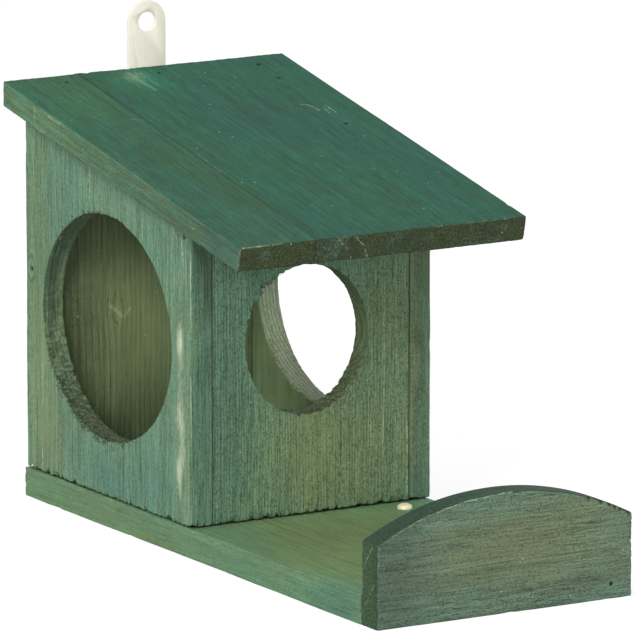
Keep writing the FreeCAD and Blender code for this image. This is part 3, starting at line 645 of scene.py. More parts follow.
def glaze_inputs(tree, glaze, finish, painted, upward):
    """Inputs of the glaze group that hang on the board's finish and on its painted values."""
    lively = calc(tree, "SUBTRACT", 1.0, painted["calm"])
    stain = mixed(tree, upward, (*finish["stain"], 1.0), (*finish.get("top", finish["stain"]), 1.0))
    rings = calc(tree, "MULTIPLY_ADD", painted["rim"], finish["rim_rings"],
                 product(tree, lively, finish["rings"]))
    inputs = {"Stain": stain, "Ring Contrast": rings, "Mottle": finish["mottle"],
              "Ends": (*finish.get("ends", glaze.ends), 1.0)}
    for socket, share in (("Grain Contrast", "contrast"), ("Grittiness", "grit"), ("Dashes", "dashes")):
        inputs[socket] = product(tree, lively, finish[share])
    for socket in ("Olive", "Teal", "Blue", "Soaked"):
        inputs[socket] = (*getattr(glaze, socket.lower()), 1.0)
    for socket in ("Tone", "Shade", "Speck"):
        inputs[socket] = painted[socket.lower()]
    return inputs


def timber_material(name, glaze, finish):
    """Glazed softwood. The finish says how the grain lies and which colours this board took."""
    material, tree, shader = new_material(name)
    place = node(tree, "ShaderNodeTexCoord").outputs
    row = in_millimetres(tree, place["Object"])
    pale, dark = placed_marks(tree, row, finish["marks"])
    bent, knot = bent_round_knots(tree, row, finish["knots"], finish["grain"])
    position = node(tree, "ShaderNodeMapping", {"Vector": bent, "Rotation": finish["turn"]}).outputs[0]
    facing = node(tree, "ShaderNodeMapping", {"Vector": place["Normal"], "Rotation": finish["turn"]},
                  vector_type="VECTOR").outputs[0]
    end_grain = rise(tree, calc(tree, "ABSOLUTE", z_of(tree, facing)), 0.35, 0.85)
    upward = rise(tree, z_of(tree, place["Normal"]), 0.25, 0.75)
    painted = {attribute: stored(tree, attribute) for attribute in PAINTED}

    grain = grouped(tree, grain_group(), {"Position": position, "Pith": finish["pith"],
                                          "Ring Spacing": finish["ring_spacing"], "Wander": finish["wander"]})
    coat = grouped(tree, glaze_group(), {
        "Position": position, "End Grain": product(tree, end_grain, finish["end_depth"]),
        **{socket.name: socket for socket in grain},
        **glaze_inputs(tree, glaze, finish, painted, upward)})["Color"]
    bare = grouped(tree, bare_group(), {
        "Position": position, "Wear": painted["wear"], "Raw": painted["raw"], "Marks": pale,
        "Fibre": grain["Fibre"], "Specks": finish["specks"]})["Bare"]

    rim_lines = product(tree, calc(tree, "POWER", grain["Ring"], 2.0), painted["rim"])
    lines = larger(tree, rise(tree, grain["Fibre"], 0.40, 0.66), rim_lines)
    wood = mixed(tree, lines, (*glaze.bare_light, 1.0), (*glaze.bare_dark, 1.0))
    shown = mixed(tree, bare, coat, wood)
    # Dark marks and knots take the crack colour; the dark marks of nail craters and chips are painted shade
    shown = mixed(tree, larger(tree, dark, knot), shown, (*glaze.gap, 1.0))

    height = calc(tree, "MULTIPLY_ADD", grain["Ring"], 0.35, grain["Fibre"])
    height = calc(tree, "MULTIPLY_ADD", grain["Dash"], -0.8, height)
    height = calc(tree, "MULTIPLY_ADD", dark, -1.5, height)
    grit_height = calc(tree, "MULTIPLY_ADD", end_grain, 2.0,
                       calc(tree, "MULTIPLY_ADD", painted["speck"], 1.5, 0.8))
    height = calc(tree, "MULTIPLY_ADD", grain["Grit"], grit_height, height)
    roughness = calc(tree, "MULTIPLY_ADD", grain["Fibre"], 0.22, finish["roughness"])
    set_inputs(tree, shader, {
        "Base Color": shown, "Roughness": calc(tree, "MULTIPLY_ADD", bare, 0.12, roughness),
        "Normal": bumped(tree, 0.8, finish["bump"] * MM, height), "Specular IOR Level": 0.3})
    return material


# Torn fibres

def chance(tree, low, high, seed, kind="FLOAT"):
    """A random number or vector for each point."""
    first = {"FLOAT_VECTOR": 0, "FLOAT": 2}[kind]
    made = node(tree, "FunctionNodeRandomValue", {first: low, first + 1: high, "Seed": seed}, data_type=kind)
    return made.outputs[first // 2]


def turned_towards(tree, way, spin):
    """A rotation that lays Z along a direction, spun round it by an angle."""
    turn = node(tree, "FunctionNodeAlignRotationToVector", {"Vector": way}, axis="Z").outputs[0]
    spin = node(tree, "ShaderNodeCombineXYZ", {2: spin}).outputs[0]
    spin = node(tree, "FunctionNodeEulerToRotation", {0: spin}).outputs[0]
    return node(tree, "FunctionNodeRotateRotation", {0: turn, 1: spin}, rotation_space="LOCAL").outputs[0]


def realized(tree, instances, material):
    """Instances as plain mesh, with their material."""
    whole = node(tree, "GeometryNodeRealizeInstances", {0: instances}).outputs[0]
    return node(tree, "GeometryNodeSetMaterial", {"Geometry": whole, "Material": material}).outputs[0]


@node_group("Torn fibres", "GeometryNodeTree",
            {"Geometry": "Geometry", "Density": 3.0e6, "Length": 1.5 * MM, "Thickness": 0.16 * MM,
             "Grain": "Vector", "Seed": 0, "Material": "Material"},
            {"Geometry": "Geometry"})
def fibre_tree(tree, given):
    """Thin slivers that stand on a mesh where its fuzz attribute says so."""
    fuzz = node(tree, "GeometryNodeInputNamedAttribute", {"Name": "fuzz"}, data_type="FLOAT").outputs[0]
    density = product(tree, given["Density"], calc(tree, "POWER", fuzz, 1.5))
    roots = node(tree, "GeometryNodeDistributePointsOnFaces",
                 {"Mesh": given["Geometry"], "Density": density, "Seed": given["Seed"]}).outputs

    def varied(low, high, shift, kind="FLOAT"):
        """A random value for each fibre."""
        return chance(tree, low, high, calc(tree, "ADD", given["Seed"], shift), kind)

    along = lengthened(tree, given["Grain"], varied(-1.3, 1.3, 1.0))
    astray = varied((-0.5, -0.5, -0.5), (0.5, 0.5, 0.5), 2.0, "FLOAT_VECTOR")
    way = vector_calc(tree, "ADD", vector_calc(tree, "ADD", along, astray), roots["Normal"])
    turn = turned_towards(tree, way, varied(0.0, SPIN, 3.0))
    cone = node(tree, "GeometryNodeMeshCone", {"Vertices": 3, "Side Segments": 3, "Radius Top": 0.12,
                                               "Radius Bottom": 1.0, "Depth": 1.0}).outputs[0]
    height = z_of(tree, node(tree, "GeometryNodeInputPosition").outputs[0])
    bend = product(tree, calc(tree, "POWER", height, 2.0), 2.6)
    bend = node(tree, "ShaderNodeCombineXYZ", {0: bend}).outputs[0]
    sliver = node(tree, "GeometryNodeSetPosition", {"Geometry": cone, "Offset": bend}).outputs[0]
    tall = product(tree, given["Length"], calc(tree, "POWER", varied(0.35, 1.3, 4.0), 1.6))
    thick = product(tree, given["Thickness"], varied(0.35, 1.1, 5.0))
    size = node(tree, "ShaderNodeCombineXYZ", {0: thick, 1: thick, 2: tall}).outputs[0]
    inputs = {"Points": roots["Points"], "Instance": sliver, "Rotation": turn, "Scale": size}
    slivers = node(tree, "GeometryNodeInstanceOnPoints", inputs).outputs[0]
    slivers = node(tree, "GeometryNodeStoreNamedAttribute",
                   {"Geometry": slivers, "Name": "tint", "Value": varied(0.0, 1.0, 6.0)},
                   data_type="FLOAT", domain="INSTANCE").outputs[0]
    return {"Geometry": realized(tree, slivers, given["Material"])}


def give_inputs(modifier, values):
    """Set a Geometry Nodes modifier's inputs by their names."""
    for item in modifier.node_group.interface.items_tree:
        if item.item_type == "SOCKET" and item.in_out == "INPUT" and item.name in values:
            modifier[item.identifier] = values[item.name]


FIBRE_FINISH = "fibre_finish"


def fibre_material(glaze):
    """Glazed fibres, some of them torn pale."""
    material, tree, shader = new_material(FIBRE_FINISH)
    tint = stored(tree, "tint")
    place = node(tree, "ShaderNodeTexCoord").outputs["Object"]
    mottle = cloud(tree, in_millimetres(tree, place), (3, 3, 6))
    olive, gap = (*glaze.olive, 1.0), (*glaze.gap, 1.0)
    dark = mixed(tree, product(tree, mottle, 0.35), (*glaze.soaked, 1.0), olive)
    green = mixed(tree, mottle, olive, (*glaze.teal, 1.0))
    # Most fibres are darkened towards the crack colour, partly as painted shade, since thin fibres take light
    # from all sides
    shown = mixed(tree, product(tree, rise(tree, tint, 0.70, 0.98), 0.7), mixed(tree, 0.6, dark, gap), green)
    shown = mixed(tree, product(tree, rise(tree, tint, 0.97, 0.99), 0.6), shown, (*glaze.bare_light, 1.0))
    set_inputs(tree, shader, {"Base Color": shown, "Roughness": calc(tree, "MULTIPLY_ADD", mottle, 0.2, 0.6),
                              "Specular IOR Level": 0.25})
    return material


def add_fibres(board, thing, timber, glaze, slot):
    """The fibres that stand up from one board, as a piece of their own."""
    fibres = in_scene(board.name + "_fibres", thing.data.copy())
    grown = fibres.modifiers.new("Fibres", "NODES")
    grown.node_group = fibre_tree()
    material = bpy.data.materials.get(FIBRE_FINISH) or fibre_material(glaze)
    give_inputs(grown, {"Density": timber.fibre_density, "Length": timber.fibre_length,
                        "Thickness": timber.fibre_thickness, "Grain": board.grain_way,
                        "Seed": timber.fibre_seed + board.seed, "Material": material})
    settle(fibres)
    if fibres.data.polygons:
        dress(fibres, material, slot)
    else:
        bpy.data.objects.remove(fibres)


# Boards

TIGHT_ARRIS = 0.12 * MM


class Board:
    """One board: where its node is, which way its grain runs, and how its blank is shaped.

    A blank is a plain box. It is stretched along one axis by a factor that depends on the
    other two, and then tilted about X, so that it fills its CAD node.
    """

    def __init__(self, name, grain, seed, tilt=0.0, tight=(), openings=(), foot=False):
        self.name = name
        self.grain = grain
        self.grain_way = tuple(float(axis == grain) for axis in range(3))
        self.seed = seed
        self.tilt = tilt
        self.tight = tight
        self.openings = openings
        self.foot = foot
        self.stretched = 2
        self.factor = None
        self.cutters = []
        self.pits = []
        points = turned_about_x(points_of(name), -tilt)
        self.low, self.high = points.min(axis=0), points.max(axis=0)

    def stretch(self, axis, factor):
        """Say along which axis the blank is stretched, and how much at each point."""
        self.stretched = axis
        self.factor = factor

    def cut_pit(self, head, outward, depth, radius, seed, width=1.5):
        """Cut the crater of a sunk nail, and mark it dark this many millimetres wide."""
        self.cutters.append(pit_cutter(head, outward, depth, radius, seed))
        start, end = head - 0.3 * MM * outward, head + 1.2 * MM * outward
        self.pits.append((tuple(start / MM), tuple(end / MM), width, -1.0))

    def cut_crack(self, start, end, outward, width, depth):
        """Cut a thin crack. Its ends are in millimetres."""
        self.cutters.append(crack_cutter(start, end, outward, width, depth))

    def cut_opening(self, timber, flare, rough):
        """Cut the board's oval opening."""
        self.cutters.append(opening_cutter(self, timber, flare, rough))

    def shaped(self, points, back=False):
        """Points of the blank as they lie in the house, or the other way with back."""
        if back:
            points = turned_about_x(points, -self.tilt)
        if self.factor:
            base = self.low[self.stretched]
            share = self.factor(points)
            points = points.copy()
            reach = points[:, self.stretched] - base
            points[:, self.stretched] = base + (reach / share if back else reach * share)
        return points if back else turned_about_x(points, self.tilt)

    def along(self, size, stretch):
        """A noise size that is longer by a factor along the grain."""
        sizes = [size] * 3
        sizes[self.grain] = size * stretch
        return sizes

    def to_edge(self, points):
        """How far points of the blank lie from the nearest arris."""
        gaps = np.minimum(points - self.low, self.high - points)
        return np.sort(gaps, axis=1)[:, 1]

    def to_tight(self, points):
        """How far points of the blank lie from the nearest face that another board hides."""
        gap = np.full(len(points), 1.0)
        for axis, end in self.tight:
            gap = np.minimum(gap, abs(points[:, axis] - (self.high if end else self.low)[axis]))
        return gap

    def lift(self, points, gap):
        """How much the ragged sawn foot stands clear of the floor, near the faces that show."""
        inwards = np.minimum(points - self.low, self.high - points)[:, :2].min(axis=1)
        tears = np.clip(noise(points, (1.2, 1.2, 4), self.seed + 13) + 0.2, 0, 1)
        share = 0.38 + 2.0 * tears * (0.55 + 0.45 * noise(points, (9, 9, 40), self.seed + 14))
        fade = 1 - smooth_step(points[:, 2] - self.low[2], 0.0, 4 * MM)
        return gap * share * fade * np.exp(-np.clip(inwards, 0, 1) / (2.2 * MM))

    def make(self, timber):
        """The weathered board, before anything is cut from it."""
        steps = [timber.step_across] * 3
        steps[self.grain] = timber.step_along
        lines = [grid_lines(self.low[axis], self.high[axis], steps[axis]) for axis in range(3)]
        points, quads = box_grid(lines)
        wave = noise(points, self.along(7, 3), self.seed)
        radius = timber.arris_radius * (1 + 0.45 * wave)
        chips = np.clip(noise(points, self.along(2.2, 2), self.seed + 1) - 0.45, 0, 1)
        radius += timber.chip_depth * chips * (noise(points, (26, 26, 26), self.seed + 2) > -0.2)
        radius += 0.12 * MM * noise(points, (0.9, 0.9, 0.9), self.seed + 12)
        radius = np.where(self.to_tight(points) < 1.5 * MM, TIGHT_ARRIS, radius)
        inner = np.clip(points, self.low + radius[:, None], self.high - radius[:, None])
        out = points - inner
        reach = np.linalg.norm(out, axis=1)
        out /= reach[:, None]
        ridges = 0.5 + 0.5 * noise(points, self.along(1.8, 25), self.seed + 3)
        fine = 0.5 + 0.5 * noise(points, self.along(0.9, 12), self.seed + 4)
        swell = 0.5 + 0.5 * noise(points, self.along(22, 2), self.seed + 5)
        depth = timber.raised_grain * (0.7 * ridges + 0.5 * fine + 0.8 * swell - 1.0)
        ends = np.abs(out[:, self.grain]) ** 4
        torn = 0.5 * noise(points, (1.1, 1.1, 1.1), self.seed + 6)
        depth += timber.end_tear * ends * torn
        points = inner + out * (radius - depth)[:, None]
        if self.foot:
            points[:, 2] += self.lift(points, timber.foot_gap)
        return new_object(self.name + "_timber", self.shaped(points), quads)

    def paint(self, thing, patches, wear_base):
        """Values for the material, in PAINTED, and the fuzz that the fibres grow on."""
        points = corner_points(thing)
        blank = self.shaped(points, back=True)
        wobble = 2.2 * MM * noise(points, self.along(5, 4), self.seed + 7)
        moved = points + wobble[:, None]
        values = {kind: spots_at(moved, patches.get(kind, [])) for kind in (*PAINTED, "fuzz")}
        values["tone"] += 0.15 * noise(points, self.along(30, 2), self.seed + 8)
        near_edge = 1 - smooth_step(self.to_edge(blank), 0.1 * MM, 0.9 * MM)
        hidden = 1 - smooth_step(self.to_tight(blank), 0.5 * MM, 1.8 * MM)
        values["wear"] += wear_base + 0.3 * noise(points, self.along(5, 3), self.seed + 9)
        values["wear"] *= near_edge * (1 - hidden)
        values["shade"] -= 0.9 * (1 - smooth_step(self.to_tight(blank), 0.1 * MM, 0.5 * MM)) * near_edge
        torn = np.zeros(len(points))
        if self.foot:
            above = blank[:, 2] - self.low[2]
            foot = 1 - smooth_step(above, 0.4 * MM, 1.6 * MM)
            # Darker at the foot: the sawn end soaks up glaze, and this is painted shade of the gap under the
            # wall
            values["shade"] -= 1.2 * (1 - smooth_step(above, 0.2 * MM, 1.0 * MM))
            torn += 0.6 * foot
        for axis, centre, half in self.openings:
            radius = half.mean()
            distance = np.linalg.norm((points[:, other_axes(axis)] - centre) / half * radius, axis=1)
            values["rim"] += 1 - smooth_step(distance - radius, -0.2 * MM, 0.5 * MM)
            torn += 1 - smooth_step(abs(distance - radius), 0.3 * MM, 1.2 * MM)
        for kind in ("shade", "tone", "speck", "raw", "calm"):
            values[kind] += values["rim"] * spots_at(moved, patches.get("rim_" + kind, []))
        values["fuzz"] *= torn
        for kind, value in values.items():
            lowest, highest = (-3, 3) if kind in ("tone", "shade") else (0, 1)
            set_values(thing, kind, np.clip(value, lowest, highest))


def opening_cutter(board, timber, flare, rough):
    """What a rough saw takes out of a wall: its skin has laps and small tears.

    Each rough part of the rim is its middle and reach, as angles, and how much deeper it is torn.
    """
    axis, centre, half = board.openings[0]
    low, high = board.low[axis], board.high[axis]
    seed = board.seed + 50
    radius = half.mean()
    overrun = 2 * MM
    wall = high - low
    near_face = np.array([0.15, 0.35, 0.6]) * MM
    stations = np.concatenate([
        [low - overrun, low - 0.02 * MM],
        low + near_face,
        np.linspace(low + MM, high - MM, max(2, round((wall - 2 * MM) / (0.45 * MM)))),
        high - near_face[::-1],
        [high + 0.02 * MM, high + overrun]])
    angles = np.linspace(0, FULL_TURN, 560, endpoint=False)
    torn = np.full(len(angles), 0.3)
    for middle, reach, amount in rough:
        away = (angles - math.radians(middle) + math.pi) % FULL_TURN - math.pi
        torn += amount * np.exp(-(away / math.radians(reach)) ** 2)
    rings = []
    for station in stations:
        to_face = max(0.0, min(station - low, high - station))
        unrolled = np.stack([radius * np.cos(angles), radius * np.sin(angles),
                             np.full(len(angles), station)], axis=1)
        laps = noise(unrolled, (9, 9, 0.9), seed)
        tears = np.clip(noise(unrolled, (1.0, 1.0, 2.4), seed + 1) + 0.15, 0, 1)
        wobble = noise(unrolled, (14, 14, 30), seed + 2)
        bristle = noise(unrolled, (0.9, 0.9, 0.9), seed + 3)
        soften = timber.rim_softening * math.exp(-to_face / (0.45 * MM))
        tear_here = timber.rim_tear * (0.35 + 0.65 * math.exp(-to_face / (1.2 * MM)))
        grow = 0.16 * MM * laps + tear_here * torn * (tears + 0.35 * bristle) + 0.2 * MM * wobble
        grow += soften + flare * (station - low) / wall
        rings.append(ring_round(axis, station, centre, (half[0] + grow, half[1] + grow), angles))
    return skin("opening_cutter", rings[::-1] if axis == 1 else rings)


def pit_cutter(centre, outward, depth, radius, seed):
    """The little crater that a sunk nail leaves, wider and ragged at the face."""
    side = np.cross(outward, UP if abs(outward[2]) < 0.7 else -FRONT)
    side /= np.linalg.norm(side)
    other = np.cross(outward, side)
    angles = np.linspace(0, FULL_TURN, 14, endpoint=False)
    ragged = 1 + 0.16 * np.sin(angles * 3 + seed) + 0.1 * np.sin(angles * 5 + 2 * seed)
    rings = []
    for share, width in ((-0.02, 0.8), (0.5, 0.86), (0.9, 1.0), (1.02, 1.22), (3.0, 1.6)):
        reach = radius * width * ragged
        ring = centre + outward * share * depth + np.outer(reach * np.cos(angles), side)
        rings.append(ring + np.outer(reach * np.sin(angles), other))
    return skin("pit_cutter", rings)


def crack_cutter(start, end, outward, width, depth):
    """A thin wedge along the grain, widest in the middle and pointed at both ends."""
    start, end = np.array(start) * MM, np.array(end) * MM
    side = np.cross(end - start, outward)
    side /= np.linalg.norm(side)
    rings = []
    for share in (0.0, 0.12, 0.35, 0.6, 0.85, 1.0):
        open_here = max(0.06, math.sin(math.pi * share) ** 0.6)
        middle = start + (end - start) * share + side * 0.25 * MM * math.sin(7 * share)
        half = side * width / 2 * open_here
        inside = middle - outward * depth * open_here
        outside = middle + outward * 0.5 * MM
        rings.append(np.array([outside - half, outside + half, inside]))
    return skin("crack_cutter", rings)


def wall_board(name, seed, tight, openings=()):
    """A wall's blank, as tall as the wall is at the back and cut down to the roof's slope."""
    board = Board(name, 2, seed, tight=tight, openings=openings, foot=True)
    base, tallest = board.low[2], underside_of_roof(board.high[1])
    board.high[2] = tallest
    board.stretch(2, lambda points: (underside_of_roof(points[:, 1]) - base) / (tallest - base))
    return board


def stave_board(name, seed, tight):
    """A roof stave's blank, as long as its top and plumb at the back."""
    board = Board(name, 1, seed, tilt=PITCH, tight=tight)
    top, whole = board.high[2], board.high[1] - board.low[1]
    board.stretch(1, lambda points: 1 - (top - points[:, 2]) * math.tan(PITCH) / whole)
    return board


def arch_height(across, middle):
    """Height of the rail's arch at places across it."""
    return RAIL_CENTRE + np.sqrt(np.maximum(RAIL_RADIUS ** 2 - (across - middle) ** 2, 0))


# What is painted on the boards, in millimetres: centre, reach along X, Y and Z, and amount

ALL = 500
PAINTED = ("tone", "wear", "raw", "shade", "speck", "rim", "calm")

# tone: above 0 is teal and blue, below 0 is olive
# shade: how many times the colour is doubled, or halved below 0; it holds painted light and shade as well as
# paler and darker stain
# calm: smooth wood with hardly any grain
# raw: wood where the glaze never took; speck: dark open pores; fuzz: torn fibres
# rim_...: the same, but only on the sawn rim of an opening

PATCHES = {
    "left_wall": {
        "tone": [
            ((-50, 110, 60), (ALL, 11, 60), -0.38), ((-50, 88, 116), (ALL, 12, 18), 0.35),
            ((-50, 22, 110), (ALL, 12, 22), 0.4), ((-50, 13, 62), (ALL, 6, 26), 0.35),
            ((-50, 56, 18), (ALL, 28, 12), 0.55), ((-50, 24, 28), (ALL, 14, 22), 0.4),
            ((-50, 64, 124), (ALL, 20, 9), 0.15), ((-45, 0, 60), (5, 2, 90), 0.5),
            ((-50, 101, 30), (ALL, 10, 22), -0.35)],
        # the third shade is painted light at the top of the wall, under the roof's overhang
        "shade": [
            ((-50, 104, 105), (3, 14, 26), -0.16), ((-50, 114, 40), (3, 10, 30), 0.12),
            ((-50, 50, 124), (3, 60, 12), 0.16), ((-45, 0, 60), (4.2, 2, 120), -0.5),
            ((-45, 0, 106), (5, 2, 28), -1.2), ((-50, 108, 100), (3, 2.0, 60), 0.12)],
        "raw": [
            ((-50, 7.6, 79), (2, 4.2, 7), 0.66), ((-50, 8.0, 64), (2, 3.4, 14), 0.38),
            ((-50, 7.4, 42), (2, 4.2, 19), 0.60), ((-50, 6.8, 27), (2, 3.8, 12), 0.5),
            ((-50, 9.6, 101), (2, 4.6, 9), 0.4), ((-50, 4.0, 108), (2, 2.0, 12), 0.38),
            ((-50, 11.5, 118), (2, 3.4, 5), 0.36), ((-45, 0, 50), (3, 2, 16), 0.2),
            ((-44, 0, 88), (3, 2, 9), 0.2), ((-50, 92, 13.4), (1, 30, 1.3), 0.42),
            ((-50, 36, 13.4), (1, 30, 1.3), 0.35)],
        "speck": [
            ((-50, 107, 105), (3, 8, 30), 0.5), ((-50, 116, 60), (3, 5, 60), 0.3),
            ((-50, 92, 116), (3, 14, 12), 0.3), ((-50, 60, 126), (3, 40, 10), 0.25)],
        "wear": [((-50, 0, 70), (3, 3, 60), 0.32)],
        # rim_shade: the window's rim is darker, partly by stain and partly as painted shade
        "rim_shade": [((-45, 110, 88), (8, 20, 32), -1.75), ((-45, 96, 50), (8, 20, 20), -0.85),
                      ((-45, 61, 34), (8, 30, 8), -0.5), ((-45, 75, 112), (8, 30, 12), -0.9)],
        "rim_speck": [((-45, 92, 46), (9, 24, 22), 1.6), ((-42, 70, 35), (3, 26, 8), 1.2)],
        "rim_calm": [((-45, 104, 96), (9, 30, 26), 0.8)],
        "calm": [((-50, 106, 40), (2, 9, 40), 0.35)],
        "rim_tone": [((-45, 90, 60), (9, 60, 60), 0.05)],
        "fuzz": [((-50, 69, 114), (1.2, 14, 5), 0.8), ((-50, 92, 105), (1.2, 12, 8), 0.4),
                 ((-50, 66, 33), (1.6, 24, 6), 1.0), ((-50, 92, 48), (1.6, 14, 14), 0.7),
                 ((-46, 95, 50), (7, 16, 18), 0.05), ((-42, 84, 46), (2, 22, 14), 0.34),
                 ((-50, 100, 11), (1.5, 22, 2), 0.9), ((-50, 40, 11), (1.5, 40, 2), 0.6)]},
    "right_wall": {
        "tone": [((41, 60, 60), (3, 80, 90), -0.75), ((50, 30, 90), (4, 22, 30), 0.4),
                 ((50, 90, 30), (4, 26, 22), 0.5), ((45, 0, 60), (5, 2, 90), -0.15)],
        # the first shade is painted light on the wall's inner face, inside the house
        "shade": [((41, 60, 60), (2, 80, 90), 0.68), ((45, 0, 60), (5, 2, 120), -0.62)],
        "speck": [((45, 0, 60), (6, 3, 90), 0.85)],
        "calm": [((41, 60, 60), (2, 90, 90), 0.95)],
        "rim_raw": [((45, 65, 73), (12, 90, 90), 0.80)],
        # rim_shade: painted light on the rim of the window
        "rim_shade": [((45, 65, 73), (9, 80, 80), 0.9)],
        "rim_tone": [((45, 65, 73), (9, 80, 80), -0.5)]},
    "front_wall": {
        "tone": [
            ((-36, 0, 60), (8, 5, 70), 0.45), ((-24, 0, 104), (16, 5, 20), 0.3),
            ((2, 0, 30), (26, 5, 26), -0.5), ((34, 0, 60), (10, 5, 60), -0.2),
            ((-20, 0, 60), (12, 5, 50), 0.1), ((0, 9, 60), (60, 3, 70), -0.4)],
        # the first shade is painted light at the top of the wall, under the roof's overhang
        "shade": [((14, 0, 116), (30, 4, 8), 0.15), ((-34, 0, 60), (7, 4, 60), -0.3),
                  ((2, 0, 34), (22, 4, 22), 0.08)],
        "calm": [((0, 0, 34), (14, 2, 16), 0.35)],
        "rim_calm": [((22, 4, 78), (8, 9, 20), 0.8)],
        "speck": [((12, 0, 52), (12, 2, 6), 0.5), ((-30, 0, 70), (12, 2, 50), 0.4),
                  ((20, 4, 58), (14, 8, 10), 0.6), ((20, 0, 90), (26, 2, 30), 0.3),
                  ((0, 0, 60), (90, 2, 90), 0.15)],
        "rim_speck": [((16, 4, 56), (16, 8, 12), 0.7), ((-18, 4, 96), (10, 8, 10), 0.6)],
        "rim_tone": [((0, 4, 75), (60, 9, 60), -0.35)],
        "fuzz": [((-19, 0, 96), (9, 2, 8), 1.0), ((-17, 8, 97), (9, 2, 8), 0.6),
                 ((4, 0, 49), (14, 1.5, 4), 0.7), ((0, 0, 11), (46, 1.5, 2), 0.5)]},
    "back_wall": {
        "tone": [((0, 112, 70), (60, 5, 80), -0.85), ((20, 121, 90), (22, 4, 40), 0.5)],
        # the back wall's inner face: painted light in the middle, and painted shade at the bottom, the top
        # and the left and a little over all of it
        "shade": [((2, 112, 72), (22, 3, 26), 0.3), ((0, 112, 18), (60, 3, 18), -0.9),
                  ((-37, 112, 84), (12, 3, 60), -0.85), ((0, 112, 112), (60, 3, 16), -0.5),
                  ((0, 112, 60), (90, 3, 90), -0.12)],
        "calm": [((6, 112, 60), (26, 3, 60), 0.8)],
        "speck": [((-34, 112, 70), (9, 3, 60), 0.6)]},
    "roof_left_stave": {
        "tone": [((-40, 100, 152), (14, 24, 20), -0.75), ((-50, 10, 135), (12, 40, 20), 0.1),
                 ((-42, 52, 143), (5, 34, 20), -0.55), ((-33, 8, 134), (5, 40, 20), -0.3),
                 ((-59, -36, 118), (2, 16, 12), 0.9), ((-49, -50, 117), (5, 3, 5), 0.8),
                 ((-34, -50, 118), (8, 3, 8), -0.6)],
        "shade": [((-59, 90, 144), (3, 40, 30), 0.5), ((-42, 96, 152), (12, 22, 20), 0.4),
                  ((-59, -30, 119), (3, 30, 20), -0.25), ((-59, 10, 132), (3, 20, 5), 0.12)],
        "raw": [((-59, 98, 146), (2, 6, 4), 0.3), ((-59, 12, 132), (2, 24, 1.6), 0.3)],
        "wear": [((-54, -51, 122), (16, 3, 3), 0.55), ((-59, 20, 140), (3, 60, 14), 0.15)],
        "speck": [((-45, -52, 118), (20, 3, 6), 0.3)]},
    "roof_right_stave": {
        "tone": [
            ((20, 60, 145), (22, 46, 20), 0.45), ((-16, 66, 145), (5, 50, 20), -0.4),
            ((-20, 112, 154), (9, 10, 10), -0.5), ((42, 10, 136), (14, 46, 20), 0.3),
            ((0, -20, 130), (26, 22, 20), -0.1), ((-25, -10, 130), (3, 40, 20), -0.5),
            ((-21, -50, 117), (6, 3, 6), 1.0), ((6, -50, 120), (5, 3, 5), 0.4),
            ((26, 20, 138), (10, 30, 20), -0.3), ((6, 84, 149), (8, 30, 20), 0.3),
            ((-4, 20, 138), (6, 40, 20), 0.25)],
        "shade": [((-8, 108, 154), (10, 14, 6), 0.75), ((40, 66, 146), (5, 4, 5), 0.12),
                  ((-25, -30, 126), (3, 34, 9), -0.35), ((24, 64, 146), (18, 30, 20), -0.08),
                  ((-20, 84, 149), (8, 30, 20), 0.06)],
        "calm": [((-8, 108, 154), (12, 14, 6), 0.5)],
        "raw": [((-9, 110, 155), (9, 12, 5), 0.44)],
        "wear": [((-20, -51, 122), (12, 3, 3), 0.4), ((30, -51, 122), (26, 3, 3), 0.3)]},
    "floor_board": {
        "tone": [((0, -60, 11), (40, 50, 4), -0.75), ((-50, -98, 5), (3, 18, 9), 0.5),
                 ((-50, 60, 5), (3, 40, 9), -0.1), ((30, -100, 11), (20, 14, 4), -0.4)],
        # the first shade is painted light on the floor just in front of the house, where the house's shadow
        # falls
        "shade": [((0, -8, 11), (60, 18, 2), 0.42), ((3, -13, 11), (7, 6, 2), -0.25),
                  ((-50, 0, 5), (2, 140, 9), -0.18), ((-50, -104, 5), (2, 12, 9), -0.35)],
        "speck": [((0, -20, 11), (50, 40, 2), 0.4)],
        "calm": [((-50, 60, 5), (2, 90, 9), 0.3)],
        "wear": [((-50, 60, 11), (3, 60, 3), 0.2)]},
    "front_rail": {
        "tone": [((-44, -128, 20), (7, 8, 30), -0.05), ((0, -123, 42), (60, 4, 8), 0.5),
                 ((0, -128, 3), (60, 5, 5), 0.15), ((10, -128, 24), (40, 5, 12), -0.45)],
        "shade": [((-44, -128, 20), (13, 3, 30), -0.6), ((44, -128, 24), (16, 3, 16), 0.15)],
        "speck": [((50, -126, 30), (5, 5, 20), 0.7), ((36, -126, 40), (16, 5, 5), 0.6),
                  ((0, -128, 40), (60, 2, 4), 0.25), ((20, -128, 8), (50, 3, 8), 0.3)],
        "wear": [((-50, -128, 15), (3, 3, 18), 0.3)]},
}

# Thin marks, in millimetres: from, to, width, and how pale, or how dark below 0

